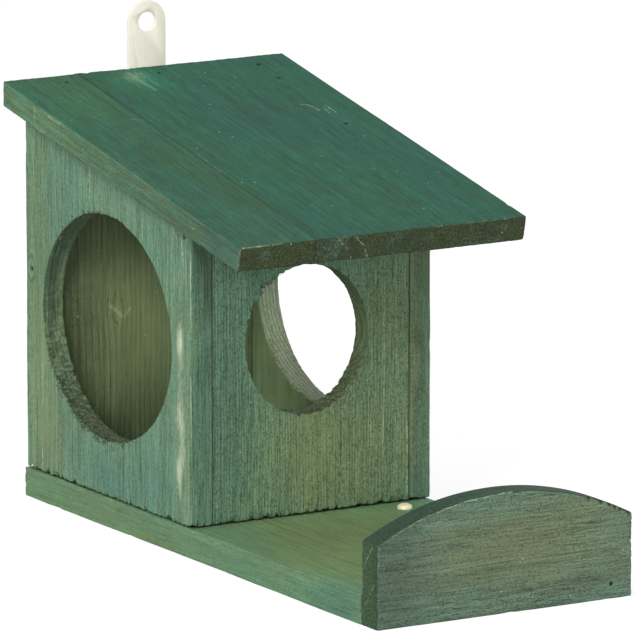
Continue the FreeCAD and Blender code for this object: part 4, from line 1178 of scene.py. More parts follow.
MARKS = {
    "left_wall": [
        ((-50, 73.0, 132), (-50, 73.3, 116), 0.45, 0.6), ((-50, 74.0, 131), (-50, 74.2, 118), 0.4, -0.85),
        ((-50, 109.3, 12), (-50, 109.5, 52), 0.4, 0.5),
        ((-50, 119.6, 123.3), (-50, 118.1, 118.7), 0.45, -0.9),
        ((-50, 120.2, 117), (-50, 119.7, 112), 0.4, -0.85),
        ((-50, 12.3, 117.9), (-50, 10.0, 115.2), 0.55, 0.75),
        ((-50, 6.5, 116), (-50, 5.2, 108), 0.45, 0.6), ((-50, 5, 112), (-50, 4.4, 99), 0.5, 0.5),
        ((-50, 1.0, 112), (-50, 1.5, 20), 0.4, 0.4)],
    "front_wall": [
        ((40.1, 0, 14), (40.2, 0, 40), 0.55, 0.45), ((12.4, 0, 27.6), (12.4, 0, 46), 0.35, -0.85),
        ((11.8, 0, 15), (12.0, 0, 22), 0.3, -0.6), ((30, 0, 20), (30.5, 0, 92), 0.6, 0.22),
        ((35.5, 0, 40), (35.6, 0, 100), 0.5, 0.2), ((24.8, 0, 34), (25.3, 0, 70), 0.5, 0.15),
        ((-6, 0, 14), (-6.3, 0, 44), 0.4, -0.4)],
    "roof_left_stave": [
        ((-59.1, 98.2, 151.5), (-59.1, 96.6, 148.5), 0.8, 0.3),
        ((-59.1, 96.6, 148.5), (-59.1, 97.6, 145.9), 0.7, 0.35),
        ((-59.1, 97.6, 145.9), (-59.1, 95.3, 142.7), 0.6, 0.3),
        ((-59.1, 87.1, 148.1), (-59.1, 78.2, 146.9), 0.9, 0.3),
        ((-59.1, 100.6, 143.0), (-59.1, 90.9, 141.6), 0.8, 0.3),
        ((-32.9, 73.1, 146.9), (-28, 71.0, 146.5), 0.35, 0.3),
        ((-41, -5, 131.5), (-41.5, -35, 125.6), 0.3, -0.4),
        ((-36, 60, 144.3), (-36.2, 20, 136.4), 0.3, -0.3),
        ((-58, -50.7, 122.7), (-42, -50.7, 122.7), 0.8, 0.4),
        ((-59.1, -50.5, 122.2), (-59.1, -49, 114), 0.6, 0.3),
        ((-28.3, -50.8, 123), (-28.2, -50, 119), 0.9, -0.95),
        ((-28.3, 14, 135.5), (-28.3, -50.6, 122.7), 0.5, -0.6)],
    "roof_right_stave": [
        ((-26.8, 37, 139.8), (-27.4, 14.3, 135.4), 0.45, 0.22),
        ((-27.2, -8, 131), (-27.0, -52, 122.3), 0.9, -0.5),
        ((-14, 41, 140.7), (-14.2, -41.7, 124.6), 0.3, -0.45),
        ((20.5, 6, 133.8), (19.8, -22, 128.3), 0.3, -0.4),
        ((-28, 71, 146.5), (-25.5, 70.1, 146.3), 0.35, 0.3),
        ((-9.2, 116.3, 155.4), (-8.4, 98, 151.8), 1.6, 0.22),
        ((-5, 114, 155), (-4.6, 102, 152.6), 1.0, 0.16),
        ((-13, 112, 154.6), (-12.5, 102, 152.6), 1.0, 0.16),
        ((40.1, 69.3, 146.2), (41.1, 63.7, 145.1), 1.1, 0.28),
        ((37.6, 70.5, 146.4), (40.4, 69.8, 146.3), 0.7, 0.3),
        ((45.8, 66.7, 145.7), (46.2, 60.2, 144.4), 0.7, 0.5),
        ((44.0, 65.1, 145.3), (43.5, 59.9, 144.3), 0.7, 0.35),
        ((-18.6, -50.4, 121.6), (-14.9, -49.7, 118.0), 0.5, 0.3),
        ((-14.9, -49.7, 118.0), (-12.6, -48.9, 113.6), 0.5, 0.3),
        ((-11.6, -50.5, 122.0), (-7.9, -49.8, 118.2), 0.55, 0.36),
        ((-7.9, -49.8, 118.2), (-6.2, -48.9, 113.6), 0.55, 0.36),
        ((-27.7, -50.8, 123), (-27.8, -50, 119), 0.9, -0.95),
        ((-25, -50.1, 119.6), (-21, -49.6, 117.6), 0.5, 0.2),
        ((-21, -49.6, 117.6), (-19, -49.1, 114.6), 0.5, 0.2),
        ((20, -50.7, 122.7), (54, -50.7, 122.7), 0.6, 0.3)],
    "front_rail": [
        ((-44, -128.2, 32.9), (-30, -128.2, 38.3), 0.45, 0.2),
        ((-30, -128.2, 38.3), (-15, -128.2, 41.8), 0.45, 0.35),
        ((-15, -128.2, 41.8), (5, -128.2, 43.2), 0.45, 0.45),
        ((-49.7, -118.4, 19.8), (-49.7, -124.4, 28.8), 0.5, 0.25),
        ((-49.7, -118.5, 5.6), (-49.7, -125.8, 15.9), 0.5, 0.22),
        ((-49.7, -128.2, 1), (-49.7, -128.2, 30), 0.5, 0.25),
        ((-30, -128.2, 35.0), (-22, -128.2, 36.2), 0.4, 0.25)],
    "back_wall": [
        ((-20, 112, 70.5), (-14, 112, 65), 1.2, 0.28), ((-14, 112, 65), (-11.2, 112, 68.2), 0.9, 0.25),
        ((-21.5, 112, 67), (-16, 112, 63), 0.8, -0.25)],
}

# Knots, in millimetres: centre, size, and how dark

KNOTS = {
    "left_wall": [((-50, 117, 86.4), 5.6, 0.5)],
    "back_wall": [((-16.5, 112, 67), 4.0, 0.1)],
}

# How each board took the glaze: its pith and its ring spacing in millimetres, with the grain turned
# along Z, how much its grain, rings, grit and dashes show, how worn its arrises are, and its colours.
# The stain, and for faces that look up the top, tint the glaze's colours. Ends replace the glaze's own.

ROOF_FINISH = {"contrast": 0.6, "rings": 0.08, "grit": 0.6, "ends": (0.035, 0.048, 0.015), "mottle": 1.5,
               "dashes": 0.2, "slot": "roof_wood"}

BOARD_FINISH = {
    "left_wall": {"pith": (60, 78, 0), "ring_spacing": 1.9, "contrast": 0.70, "rings": 0.12, "grit": 0.58,
                  "dashes": 0.15, "stain": (0.97, 0.99, 0.97), "worn": 0.30, "slot": "wall_wood"},
    "right_wall": {"pith": (-150, 65, 0), "ring_spacing": 1.5, "contrast": 0.5, "rings": 0.1, "grit": 0.35,
                   "worn": 0.2, "slot": "wall_wood"},
    "front_wall": {"pith": (160, 60, 0), "ring_spacing": 1.15, "contrast": 0.7, "rings": 0.2, "grit": 0.85,
                   "dashes": 0.25, "stain": (0.93, 0.94, 0.92), "worn": 0.0, "slot": "wall_wood"},
    "back_wall": {"pith": (-70, 150, 0), "ring_spacing": 1.9, "contrast": 0.62, "rings": 0.34, "grit": 0.3,
                  "stain": (0.96, 0.92, 0.85), "worn": 0.2, "slot": "wall_wood"},
    "roof_left_stave": {**ROOF_FINISH, "pith": (-72, -150, 0), "ring_spacing": 2.1,
                        "stain": (0.48, 0.57, 0.51), "top": (0.095, 0.345, 0.295), "worn": 0.15},
    "roof_right_stave": {**ROOF_FINISH, "pith": (-23.2, -128, 0), "ring_spacing": 3.6,
                         "stain": (0.37, 0.48, 0.46), "top": (0.048, 0.33, 0.305), "worn": 0.10},
    "floor_board": {"pith": (20, -40, 0), "ring_spacing": 3.0, "contrast": 0.42, "rings": 0.06, "grit": 0.5,
                    "stain": (0.88, 0.95, 0.82), "dashes": 0.1, "worn": 0.22, "slot": "floor_wood"},
    "front_rail": {"pith": (-40, -90, 0), "ring_spacing": 2.4, "contrast": 0.62, "rings": 0.12, "grit": 0.8,
                   "stain": (0.81, 0.74, 0.82), "top": (0.165, 0.225, 0.20), "ends": (0.028, 0.073, 0.024),
                   "mottle": 0.35, "dashes": 0.6, "worn": 0.15, "slot": "rail_wood"},
}

# The turn that lays each kind of board's grain along Z

TURNS = {0: (0, -math.pi / 2, 0), 1: (math.pi / 2, 0, 0), 2: (0, 0, 0)}

COMMON_FINISH = {"wander": 4.0, "mottle": 0.5, "end_depth": 0.9, "roughness": 0.60, "specks": 0.6,
                 "bump": 0.2, "stain": (1, 1, 1), "rim_rings": 0.5, "worn": 0.2, "dashes": 0.3}


def finish_board(board, scene):
    """Make, carve, paint and dress one board."""
    timber, glaze = scene.feeder_timber, scene.feeder_glaze
    thing = board.make(timber)
    if board.cutters:
        carve(thing, board.cutters)
    smooth_faces(thing)
    turn = TURNS[board.grain]
    finish = {**COMMON_FINISH, **BOARD_FINISH[board.name], "grain": board.grain_way,
              "turn": (turn[0] - board.tilt, *turn[1:]), "knots": KNOTS.get(board.name, []),
              # the pits' dark marks are painted shade in nail craters and chips
              "marks": MARKS.get(board.name, []) + board.pits}
    board.paint(thing, PATCHES[board.name], finish["worn"])
    material = timber_material(board.name + "_finish", glaze, finish)
    dress(thing, material, finish["slot"], board.name)
    add_fibres(board, thing, timber, glaze, finish["slot"])


# Settings that a user would change

def length(name, description, default):
    """A length that a user can change."""
    return FloatProperty(name=name, description=description, default=default, min=0.0, unit="LENGTH",
                         precision=5)


def colour(name, description, default):
    """A colour that a user can change."""
    return FloatVectorProperty(name=name, description=description, default=default, subtype="COLOR",
                               size=3, min=0.0, max=1.0)


def amount(name, description, default, **limits):
    """A plain number that a user can change."""
    return FloatProperty(name=name, description=description, default=default, **{"min": 0.0, **limits})


class TimberSettings(bpy.types.PropertyGroup):
    """Sizes of the weathering on the boards"""
    arris_radius: length("Arris radius", "Mean rounding of a board's edges", 0.55 * MM)
    chip_depth: length("Chips", "How much a chip adds to the rounding of an edge", 2.2 * MM)
    raised_grain: length("Raised grain", "Depth of the soft wood between the hard lines", 0.16 * MM)
    end_tear: length("End tear", "Roughness of sawn ends", 0.3 * MM)
    foot_gap: length("Gap under the walls", "How much the ragged feet of the walls stand clear", 2.3 * MM)
    rim_tear: length("Rim tear", "Depth of the tears round the openings", 0.9 * MM)
    rim_softening: length("Rim softening", "Rounding of the openings' edges", 0.2 * MM)
    inner_flare: length("Inner flare", "How much wider the windows are inside the house", 0.5 * MM)
    step_across: length("Mesh across the grain", "Distance of mesh lines across the grain", 0.6 * MM)
    step_along: length("Mesh along the grain", "Distance of mesh lines along the grain", 2.2 * MM)
    fibre_length: length("Fibre length", "Length of a torn fibre", 1.25 * MM)
    fibre_thickness: length("Fibre thickness", "Thickness of a torn fibre at its root", 0.19 * MM)
    fibre_density: amount("Fibres per square metre", "Where the wood is most torn", 6.0e6)
    fibre_seed: IntProperty(name="Fibre seed", description="Another number gives other fibres", default=7)


class GlazeSettings(bpy.types.PropertyGroup):
    """Colours of the green glaze and of the wood under it"""
    olive: colour("Olive", "Where the glaze is thin", (0.205, 0.280, 0.135))
    teal: colour("Teal", "Where the glaze is as it should be", (0.150, 0.290, 0.190))
    blue: colour("Blue", "Where the glaze pooled", (0.112, 0.255, 0.205))
    soaked: colour("Soaked", "Open grain", (0.044, 0.070, 0.037))
    ends: colour("Ends", "Sawn ends, which drink the glaze", (0.100, 0.135, 0.070))
    bare_light: colour("Bare wood", "Wood without glaze", (0.62, 0.71, 0.52))
    bare_dark: colour("Bare grain", "Darker lines in wood without glaze", (0.27, 0.32, 0.20))
    # gap is also the painted shade in nail craters, in chips and on most torn fibres
    gap: colour("Cracks", "Inside cracks and knots", (0.020, 0.028, 0.015))


class IronmongerySettings(bpy.types.PropertyGroup):
    """Colours of the metal pieces"""
    strap: colour("Strap", "Plated strap", (0.86, 0.82, 0.70))
    steel: colour("Screws", "Zinc-plated screws", (0.66, 0.66, 0.64))
    nail: colour("Nails", "Dull nails", (0.035, 0.036, 0.030))
    brass: colour("Brass", "Pale brass screw", (1.0, 0.93, 0.62))


class StageSettings(bpy.types.PropertyGroup):
    """Floor, light and camera"""
    floor_size: length("Floor size", "Side of the square floor", 12.0)
    floor_bounce: amount("Floor bounce", "How pale the floor is to the object", 0.6, max=1.0)
    key_watts: amount("Key light", "Soft light from the left front", 36.0)
    fill_watts: amount("Fill light", "Low soft light from beside the camera", 14.0)
    top_watts: amount("Top light", "Soft light from above", 7.0)
    ambient: amount("Ambient", "Even light from all round", 0.5)
    focal_length: amount("Focal length", "Camera lens", 500.08, min=1.0, unit="CAMERA")


# Operators for the boards

class FEEDER_OT_floor_board(bpy.types.Operator):
    """Make the long floor board"""
    bl_idname = "feeder.floor_board"
    bl_label = "Floor board"

    def execute(self, context):
        finish_board(Board("floor_board", 1, 100), context.scene)
        return {"FINISHED"}


# Where nails of the left wall lie in open pits

UPPER_PIT_BACK = 7.4 * MM
UPPER_PIT_HEIGHT = 116.6 * MM
MIDDLE_PIT_HEIGHT = 86.4 * MM
NEAR = 4 * MM


class FEEDER_OT_side_walls(bpy.types.Operator):
    """Make both side walls with their round windows"""
    bl_idname = "feeder.side_walls"
    bl_label = "Side walls"

    def execute(self, context):
        timber = context.scene.feeder_timber
        for name, outward, seed in (("left_wall", -1.0, 200), ("right_wall", 1.0, 300)):
            left = outward < 0
            board = wall_board(name, seed, [(0, left), (2, 1)], [(0, *opening_of(name, 0))])
            rough = [(-42, 28, 1.2), (100, 25, 0.5), (-100, 25, 0.8)] if left else []
            board.cut_opening(timber, -outward * timber.inner_flare, rough)
            way = np.array([outward, 0.0, 0.0])
            face = board.low[0] if left else board.high[0]
            for row in ("_front_nails", "_back_nails"):
                for number, head in enumerate(head_centres(name + row, way)):
                    if not left or self.seen_pit(head):
                        board.cut_pit(head, way, abs(face - head[0]), 0.8 * MM, number + 1.3 * seed)
            if left:
                board.cut_crack((-50, 74.1, 117), (-50, 73.9, 132), way, 0.4 * MM, 0.7 * MM)
                board.cut_crack((-50, 118.2, 118.7), (-50, 119.7, 124), way, 0.5 * MM, 0.7 * MM)
            finish_board(board, context.scene)
        return {"FINISHED"}

    def seen_pit(self, head):
        """Whether a nail of the left wall lies in an open pit, as the photograph shows some of them."""
        upper_front = np.hypot(head[1] - UPPER_PIT_BACK, head[2] - UPPER_PIT_HEIGHT) < NEAR
        return upper_front or abs(head[2] - MIDDLE_PIT_HEIGHT) < NEAR


class FEEDER_OT_front_wall(bpy.types.Operator):
    """Make the front wall with its round entrance"""
    bl_idname = "feeder.front_wall"
    bl_label = "Front wall"

    def execute(self, context):
        board = wall_board("front_wall", 400, [(0, 0), (0, 1), (2, 1)], [(1, *opening_of("front_wall", 1))])
        board.cut_opening(context.scene.feeder_timber, 0.0, [(138, 26, 2.6), (-60, 34, 0.9)])
        board.cut_crack((12.4, 0, 27), (12.4, 0, 46.5), FRONT, 0.35 * MM, 0.6 * MM)
        finish_board(board, context.scene)
        return {"FINISHED"}


class FEEDER_OT_back_wall(bpy.types.Operator):
    """Make the plain back wall"""
    bl_idname = "feeder.back_wall"
    bl_label = "Back wall"

    def execute(self, context):
        finish_board(wall_board("back_wall", 500, [(0, 0), (0, 1), (2, 1)]), context.scene)
        return {"FINISHED"}


class FEEDER_OT_roof(bpy.types.Operator):
    """Make the two staves of the roof"""
    bl_idname = "feeder.roof"
    bl_label = "Roof"

    def execute(self, context):
        joint = extent("roof_left_stave")[1][0]
        for name, right, seed in (("roof_left_stave", False, 600), ("roof_right_stave", True, 700)):
            board = stave_board(name, seed, [(0, not right)])
            for group in ("roof_back_nails", "roof_side_nails"):
                for number, head in enumerate(head_centres(group, ROOF_OUT)):
                    if (head[0] >= joint) == right:
                        depth = board.high[2] - head @ ROOF_OUT
                        board.cut_pit(head, ROOF_OUT, depth, 0.95 * MM, number + 1.7 * seed)
            finish_board(board, context.scene)
        return {"FINISHED"}


# Chips on the rail, in millimetres: across on its right shoulder, and up its right front corner

SHOULDER_CHIPS = (36.5, 41.5, 45.0, 47.4, 49.6, 51.4, 53.0)
CORNER_CHIPS = (5.0, 13.5, 21.0, 27.0)


class FEEDER_OT_front_rail(bpy.types.Operator):
    """Make the front rail with its arched top"""
    bl_idname = "feeder.front_rail"
    bl_label = "Front rail"

    def execute(self, context):
        board = Board("front_rail", 0, 800)
        low, high = board.low, board.high
        middle = (low[0] + high[0]) / 2
        board.stretch(2, lambda points: (arch_height(points[:, 0], middle) - low[2]) / (high[2] - low[2]))
        for number, head in enumerate(head_centres("rail_nails", FRONT)):
            if head[0] > 20 * MM:
                board.cut_pit(head, FRONT, head[1] - low[1], 0.75 * MM, number + 3.1, 0.8)
        # The chips are cut as craters, and their dark marks are painted shade
        shoulder = np.array([0.0, -0.75, 0.66])
        for number, across in enumerate(SHOULDER_CHIPS):
            arch = arch_height(across * MM, middle)
            edge = np.array([across * MM, low[1], arch]) - 0.75 * MM * shoulder
            size = (0.75 + 0.45 * ((number * 7) % 5) / 4) * MM
            board.cut_pit(edge, shoulder, size, size, number + 0.7, 1.4)
        corner = np.array([0.7, -0.7, 0.0])
        for number, height in enumerate(CORNER_CHIPS):
            edge = np.array([high[0], low[1], height * MM]) - 0.5 * MM * corner
            board.cut_pit(edge, corner, 0.5 * MM, 0.55 * MM, number + 1.9, 1.1)
        finish_board(board, context.scene)
        return {"FINISHED"}


# Ironmongery

TARNISH = (0.62, 0.60, 0.52, 1.0)
RECESS_COLOUR = (0.62, 0.36, 0.22)


@node_group("Worn metal", "ShaderNodeTree",
            {"Position": "Vector", "Color": (0.5, 0.5, 0.5, 1.0), "Dull": 0.3},
            {"Color": "Color", "Roughness": "Float", "Height": "Float"})
def metal_group(tree, given):
    """A worn metal's fine scratches, pits and dull patches."""
    position = given["Position"]
    patches = cloud(tree, position, (3.5, 3.5, 5.0), 3.0, 0.6)
    rolled = cloud(tree, position, (0.12, 0.12, 6.0), 2.0, 0.6, (4.4, 1.2, 0.3))
    pits = rise(tree, cloud(tree, position, (0.35, 0.35, 0.35), shift=(8.1, 3.3, 2.2)), 0.68, 0.74)
    dulled = product(tree, rise(tree, patches, 0.4, 0.7), given["Dull"])
    dark_share = larger(tree, dulled, product(tree, pits, 0.7))
    roughness = calc(tree, "MULTIPLY_ADD", dulled, 0.25, calc(tree, "MULTIPLY_ADD", rolled, 0.12, 0.3))
    return {"Color": mixed(tree, dark_share, given["Color"], tinted(tree, given["Color"], TARNISH)),
            "Roughness": roughness, "Height": calc(tree, "MULTIPLY_ADD", pits, -1.0, rolled)}


def metal_material(name, base, dull, metallic=1.0, centre=None):
    """Worn metal. A centre colour shows in the drive recess of a screw."""
    material, tree, shader = new_material(name)
    position = in_millimetres(tree, node(tree, "ShaderNodeTexCoord").outputs["Object"])
    worn = grouped(tree, metal_group(), {"Position": position, "Dull": dull, "Color": (*base, 1.0)})
    shown = worn["Color"]
    if centre:
        shown = mixed(tree, stored(tree, "recess"), shown, (*centre, 1.0))
    set_inputs(tree, shader, {"Base Color": shown, "Roughness": worn["Roughness"], "Metallic": metallic,
                              "Normal": bumped(tree, 0.3, 0.03 * MM, worn["Height"])})
    return material


def strap_mesh():
    """The flat strap with full-round ends and rolled edges, before its holes are cut."""
    low, high = extent("hanger_strap")
    half = (high[0] - low[0]) / 2
    middle = (low[0] + high[0]) / 2
    roll = 0.28 * MM
    arc = np.linspace(0, math.pi, 61)
    side = np.linspace(0, 1, 30)[1:-1, None]
    top = np.stack([half * np.cos(arc), high[2] - half + half * np.sin(arc)], axis=1)
    foot = np.stack([-half * np.cos(arc), low[2] + half - half * np.sin(arc)], axis=1)
    left_side = top[-1] + side * (foot[0] - top[-1])
    right_side = foot[-1] + side * (top[0] - foot[-1])
    outline = np.concatenate([top, left_side, foot, right_side])
    following = np.roll(outline, -1, axis=0) - np.roll(outline, 1, axis=0)
    inward = np.stack([-following[:, 1], following[:, 0]], axis=1)
    inward /= np.linalg.norm(inward, axis=1)[:, None]
    rings = []
    profile = [(high[1], roll), (high[1] - 0.3 * roll, 0.35 * roll), (high[1] - roll, 0.0),
               (low[1] + roll, 0.0), (low[1] + 0.3 * roll, 0.35 * roll), (low[1], roll)]
    for depth, inset in profile:
        ring = np.zeros((len(outline), 3))
        ring[:, [0, 2]] = outline + inward * inset
        ring[:, 0] += middle
        ring[:, 1] = depth
        rings.append(ring)
    return skin("hanger_strap_metal", rings)


def hole_cutter(centre, radius, low, high, flare):
    """A round punch along Y with flared mouths."""
    angles = np.linspace(0, FULL_TURN, 72, endpoint=False)
    rings = []
    for inside, grow in ((-MM, flare), (0.0, flare), (0.35 * flare, 0.35 * flare), (flare, 0.0)):
        reach = (radius + grow,) * 2
        rings.append(ring_round(1, low + inside, (centre[0], centre[2]), reach, angles))
        rings.append(ring_round(1, high - inside, (centre[0], centre[2]), reach, angles))
    return skin("hole_cutter", rings[1::2] + rings[-2::-2])


# A screw head's profile from its top down: share of its radius and of its height

DOME = [(0.06, 1.0), (0.3, 0.985), (0.55, 0.93), (0.76, 0.80), (0.9, 0.62), (0.975, 0.38), (1.0, 0.16)]
UNDER_DOME = [(0.985, 0.03), (0.9, 0.0)]
THREAD_PITCH = 1.2 * MM
SHANK_RADIUS = 1.5 * MM
SCREW_HOLE_RADIUS = 1.75 * MM


def screw_blank(name, head_radius, head_height, shank_length):
    """A round-head screw along Z with its seat at zero, a rolled thread and a cross recess."""
    turns = np.linspace(0, FULL_TURN, 40, endpoint=False)
    rings = [ring_round(2, head_height * height, (0, 0), (head_radius * share,) * 2, turns)
             for share, height in DOME + UNDER_DOME]
    for station in np.linspace(0, -shank_length, round(shank_length / (0.12 * MM))):
        tip = min(1.0, (shank_length + station) / (2 * MM) + 0.04)
        wave = (station / THREAD_PITCH + turns / FULL_TURN) % 1.0
        crest = np.clip(1 - abs(wave - 0.5) * 5, 0, 1) * smooth_step(-station, 0.8 * MM, 1.6 * MM)
        reach = SHANK_RADIUS * (0.74 + 0.24 * crest) * tip
        rings.append(ring_round(2, station, (0, 0), (reach, reach), turns))
    screw = skin(name, rings[::-1])
    slot = head_radius * np.array([(-0.52, -0.13), (0.52, -0.13), (0.52, 0.13), (-0.52, 0.13)])
    cutters = []
    for quarter in (np.eye(2), np.array([(0, 1), (-1, 0)])):
        cutters.append(skin("recess_cutter", [
            np.column_stack([slot * (share, thin) @ quarter, np.full(len(slot), height * head_height)])
            for height, share, thin in ((0.35, 0.35, 0.5), (1.0, 1.0, 1.0), (1.5, 1.1, 1.1))]))
    carve(screw, cutters)
    points = corner_points(screw)
    across = np.hypot(points[:, 0], points[:, 1]) / head_radius
    dome = head_height * np.interp(across, *zip(*DOME))
    below = smooth_step(dome - points[:, 2], 0.05 * MM, 0.3 * MM) * (points[:, 2] > 0.1 * MM)
    set_values(screw, "recess", below)
    smooth_faces(screw, 30)
    return screw


@node_group("Driven screws", "GeometryNodeTree",
            {"Geometry": "Geometry", "Screw": "Object", "Outward": "Vector", "Seed": 0,
             "Material": "Material"},
            {"Geometry": "Geometry"})
def screw_tree(tree, given):
    """Copies of a screw on points, each turned along its outward direction and spun by chance."""
    screw = node(tree, "GeometryNodeObjectInfo", {"Object": given["Screw"]}).outputs["Geometry"]
    turn = turned_towards(tree, given["Outward"], chance(tree, 0.0, SPIN, given["Seed"]))
    placed = node(tree, "GeometryNodeInstanceOnPoints",
                  {"Points": given["Geometry"], "Instance": screw, "Rotation": turn}).outputs[0]
    return {"Geometry": realized(tree, placed, given["Material"])}


def drive_screws(name, nodes, outward, seat, material, slot, seed):
    """Screws in the place of CAD nodes, as one piece. They point along an axis, heads outwards."""
    axis = outward.index(1.0)
    places = []
    for low, high in map(extent, nodes):
        place = (low + high) / 2
        place[axis] = seat
        places.append(place)
    across = other_axes(axis)[0]
    head_radius = (high[across] - low[across]) / 2
    blank = screw_blank(name + "_blank", head_radius, high[axis] - seat, seat - low[axis])
    screws = new_object(name, places, [])
    placed = screws.modifiers.new("Screws", "NODES")
    placed.node_group = screw_tree()
    give_inputs(placed, {"Screw": blank, "Outward": outward, "Seed": seed, "Material": material})
    settle(screws)
    bpy.data.objects.remove(blank)
    dress(screws, material, slot, *nodes)


class FEEDER_OT_strap(bpy.types.Operator):
    """Make the hanging strap and its two screws"""
    bl_idname = "feeder.strap"
    bl_label = "Hanging strap"

    def execute(self, context):
        colours = context.scene.feeder_ironmongery
        mount = next(item for item in frame["record"]["mounts"] if item["name"] == "hanging_hole")
        low, high = extent("hanger_strap")
        screws = ["hanger_screw_lower", "hanger_screw_upper"]
        cutters = [hole_cutter(mount["pos_m"], mount["dims"]["r_mm"] * MM, low[1], high[1], 0.2 * MM)]
        for screw in screws:
            centre = sum(extent(screw)) / 2
            cutters.append(hole_cutter(centre, SCREW_HOLE_RADIUS, low[1], high[1], 0.15 * MM))
        strap = strap_mesh()
        carve(strap, cutters)
        smooth_faces(strap, 50)
        dress(strap, metal_material("strap_finish", colours.strap, 0.12, 0.15), "strap_metal", "hanger_strap")
        steel = metal_material("screw_finish", colours.steel, 0.5)
        drive_screws("hanger_screws", screws, (0.0, 1.0, 0.0), high[1], steel, "screw_metal", 3)
        return {"FINISHED"}


class FEEDER_OT_floor_screw(bpy.types.Operator):
    """Make the pale brass screw in the floor board"""
    bl_idname = "feeder.floor_screw"
    bl_label = "Floor screw"

    def execute(self, context):
        colours = context.scene.feeder_ironmongery
        brass = metal_material("brass_finish", colours.brass, 0.2, 0.15, RECESS_COLOUR)
        top = extent("floor_board")[1][2]
        drive_screws("floor_screw_brass", ["floor_screw"], (0.0, 0.0, 1.0), top, brass, "brass", 5)
        return {"FINISHED"}


class FEEDER_OT_nails(bpy.types.Operator):
    """Give the nails their dull steel"""
    bl_idname = "feeder.nails"
    bl_label = "Nails"

    def execute(self, context):
        steel = metal_material("nail_finish", context.scene.feeder_ironmongery.nail, 0.8)
        for name, thing in frame["nodes"].items():
            if name.endswith("_nails"):
                for slot in thing.material_slots:
                    slot.material = steel
        return {"FINISHED"}


# The stage: what the floor gives back and gives off to the camera, the lamps' places and sizes, the camera

FLOOR_SEEN = 0.32
FLOOR_GLOW = 0.80
WHITE = (1.0, 1.0, 1.0, 1.0)
LAMPS = {"key": ((-1.7, -1.25, 1.35), 0.9), "top": ((0.2, 0.1, 2.2), 1.6), "fill": ((-1.1, -2.3, 0.45), 0.8)}
CAMERA_PLACE = (-1.59525, -2.68347, 0.71504)
CAMERA_AZIMUTH = math.radians(-30.77)
CAMERA_ELEVATION = math.radians(11.46)


def grey(value):
    """A grey without transparency."""
    return (value, value, value, 1.0)


def seen_directly(tree):
    """1 for what the camera sees, also in a mirror or through glass, and 0 for what only gives light."""
    rays = node(tree, "ShaderNodeLightPath").outputs
    seen = larger(tree, rays["Is Camera Ray"], rays["Is Glossy Ray"])
    return larger(tree, seen, rays["Is Transmission Ray"])


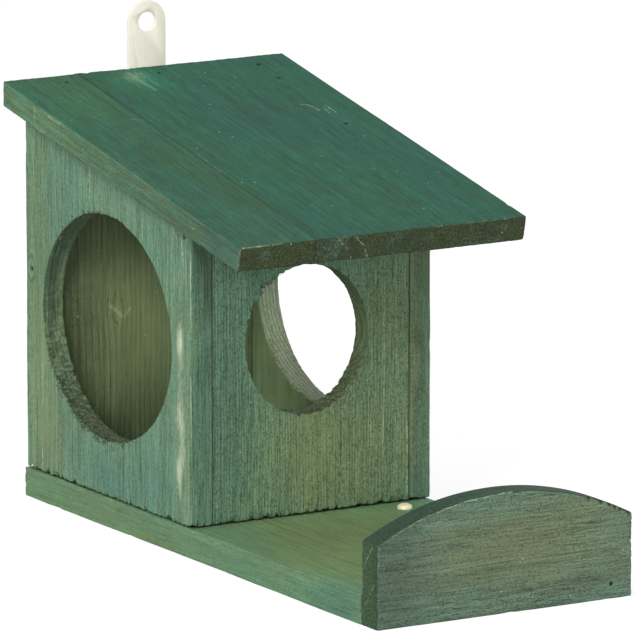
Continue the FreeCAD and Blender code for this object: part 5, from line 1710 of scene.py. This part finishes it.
class FEEDER_OT_stage(bpy.types.Operator):
    """Make the floor, the light and the camera"""
    bl_idname = "feeder.stage"
    bl_label = "Stage"

    def execute(self, context):
        scene = context.scene
        stage = scene.feeder_stage
        half = stage.floor_size / 2
        corners = [(-half, -half, 0), (half, -half, 0), (half, half, 0), (-half, half, 0)]
        floor = new_object("floor", corners, [(0, 1, 2, 3)])
        floor.data.materials.append(self.floor_material(stage))
        self.world(scene, stage)
        for name, (place, size) in LAMPS.items():
            self.lamp(name, place, size, getattr(stage, name + "_watts"))
        self.camera(scene, stage)
        scene.view_settings.view_transform = "Standard"
        return {"FINISHED"}

    def floor_material(self, stage):
        """A floor that looks nearly white, with a soft shadow, and is greyer to the object."""
        material, tree, _ = new_material("pale_floor")
        tree.nodes.clear()
        bounce = node(tree, "ShaderNodeBsdfDiffuse", {"Color": grey(stage.floor_bounce)}).outputs[0]
        shadowed = node(tree, "ShaderNodeBsdfDiffuse", {"Color": grey(FLOOR_SEEN)}).outputs[0]
        glow = node(tree, "ShaderNodeEmission", {"Color": WHITE, "Strength": FLOOR_GLOW}).outputs[0]
        shown = node(tree, "ShaderNodeAddShader", {0: shadowed, 1: glow}).outputs[0]
        both = node(tree, "ShaderNodeMixShader", {0: seen_directly(tree), 1: bounce, 2: shown}).outputs[0]
        node(tree, "ShaderNodeOutputMaterial", {"Surface": both})
        return material

    def world(self, scene, stage):
        """A white surrounding that gives only the ambient light."""
        scene.world = bpy.data.worlds.new("studio")
        scene.world.use_nodes = True
        tree = scene.world.node_tree
        tree.nodes.clear()
        strength = calc(tree, "MULTIPLY_ADD", seen_directly(tree), 1 - stage.ambient, stage.ambient)
        glow = node(tree, "ShaderNodeBackground", {"Color": WHITE, "Strength": strength}).outputs[0]
        node(tree, "ShaderNodeOutputWorld", {"Surface": glow})

    def lamp(self, name, place, size, watts):
        """A soft round light that points at the middle of the object."""
        light = bpy.data.lights.new(name, "AREA")
        light.shape = "DISK"
        light.size = size
        light.energy = watts
        lamp = in_scene(name, light)
        lamp.location = place
        target = (Vector(CAD_BOX[0]) + Vector(CAD_BOX[1])) / 2
        lamp.rotation_euler = (lamp.location - target).to_track_quat("Z", "Y").to_euler()

    def camera(self, scene, stage):
        """The camera, with a long lens."""
        camera = bpy.data.cameras.new("camera")
        camera.lens = stage.focal_length
        camera.sensor_width = 36.0
        camera.clip_end = 20.0
        scene.camera = in_scene("camera", camera)
        scene.camera.location = CAMERA_PLACE
        scene.camera.rotation_mode = "QUATERNION"
        level = math.cos(CAMERA_ELEVATION)
        back = Vector((math.sin(CAMERA_AZIMUTH) * level, -math.cos(CAMERA_AZIMUTH) * level,
                       math.sin(CAMERA_ELEVATION)))
        scene.camera.rotation_quaternion = back.to_track_quat("Z", "Y")


SETTINGS = {"feeder_timber": TimberSettings, "feeder_glaze": GlazeSettings,
            "feeder_ironmongery": IronmongerySettings, "feeder_stage": StageSettings}
OPERATORS = [
    FEEDER_OT_floor_board, FEEDER_OT_side_walls, FEEDER_OT_front_wall, FEEDER_OT_back_wall, FEEDER_OT_roof,
    FEEDER_OT_front_rail, FEEDER_OT_strap, FEEDER_OT_floor_screw, FEEDER_OT_nails, FEEDER_OT_stage,
]
STEPS = [operator.bl_idname for operator in OPERATORS]


class FEEDER_PT_panel(bpy.types.Panel):
    """Lists the steps in the order in which they are made"""
    bl_idname = "FEEDER_PT_panel"
    bl_label = "Squirrel feeder"
    bl_space_type = "VIEW_3D"
    bl_region_type = "UI"
    bl_category = "Feeder"

    def draw(self, context):
        for name, kind in SETTINGS.items():
            column = self.layout.column(heading=kind.__doc__)
            for setting in kind.__annotations__:
                column.prop(getattr(context.scene, name), setting)
        for step in STEPS:
            self.layout.operator(step)


CLASSES = [*SETTINGS.values(), *OPERATORS, FEEDER_PT_panel]


def register():
    for kind in CLASSES:
        bpy.utils.register_class(kind)
    for name, kind in SETTINGS.items():
        setattr(bpy.types.Scene, name, PointerProperty(type=kind))


def unregister():
    for name in SETTINGS:
        delattr(bpy.types.Scene, name)
    for kind in reversed(CLASSES):
        bpy.utils.unregister_class(kind)


def main():
    register()
    for step in STEPS:
        group, name = step.split(".")
        getattr(getattr(bpy.ops, group), name)()


if __name__ == "__main__":
    main()
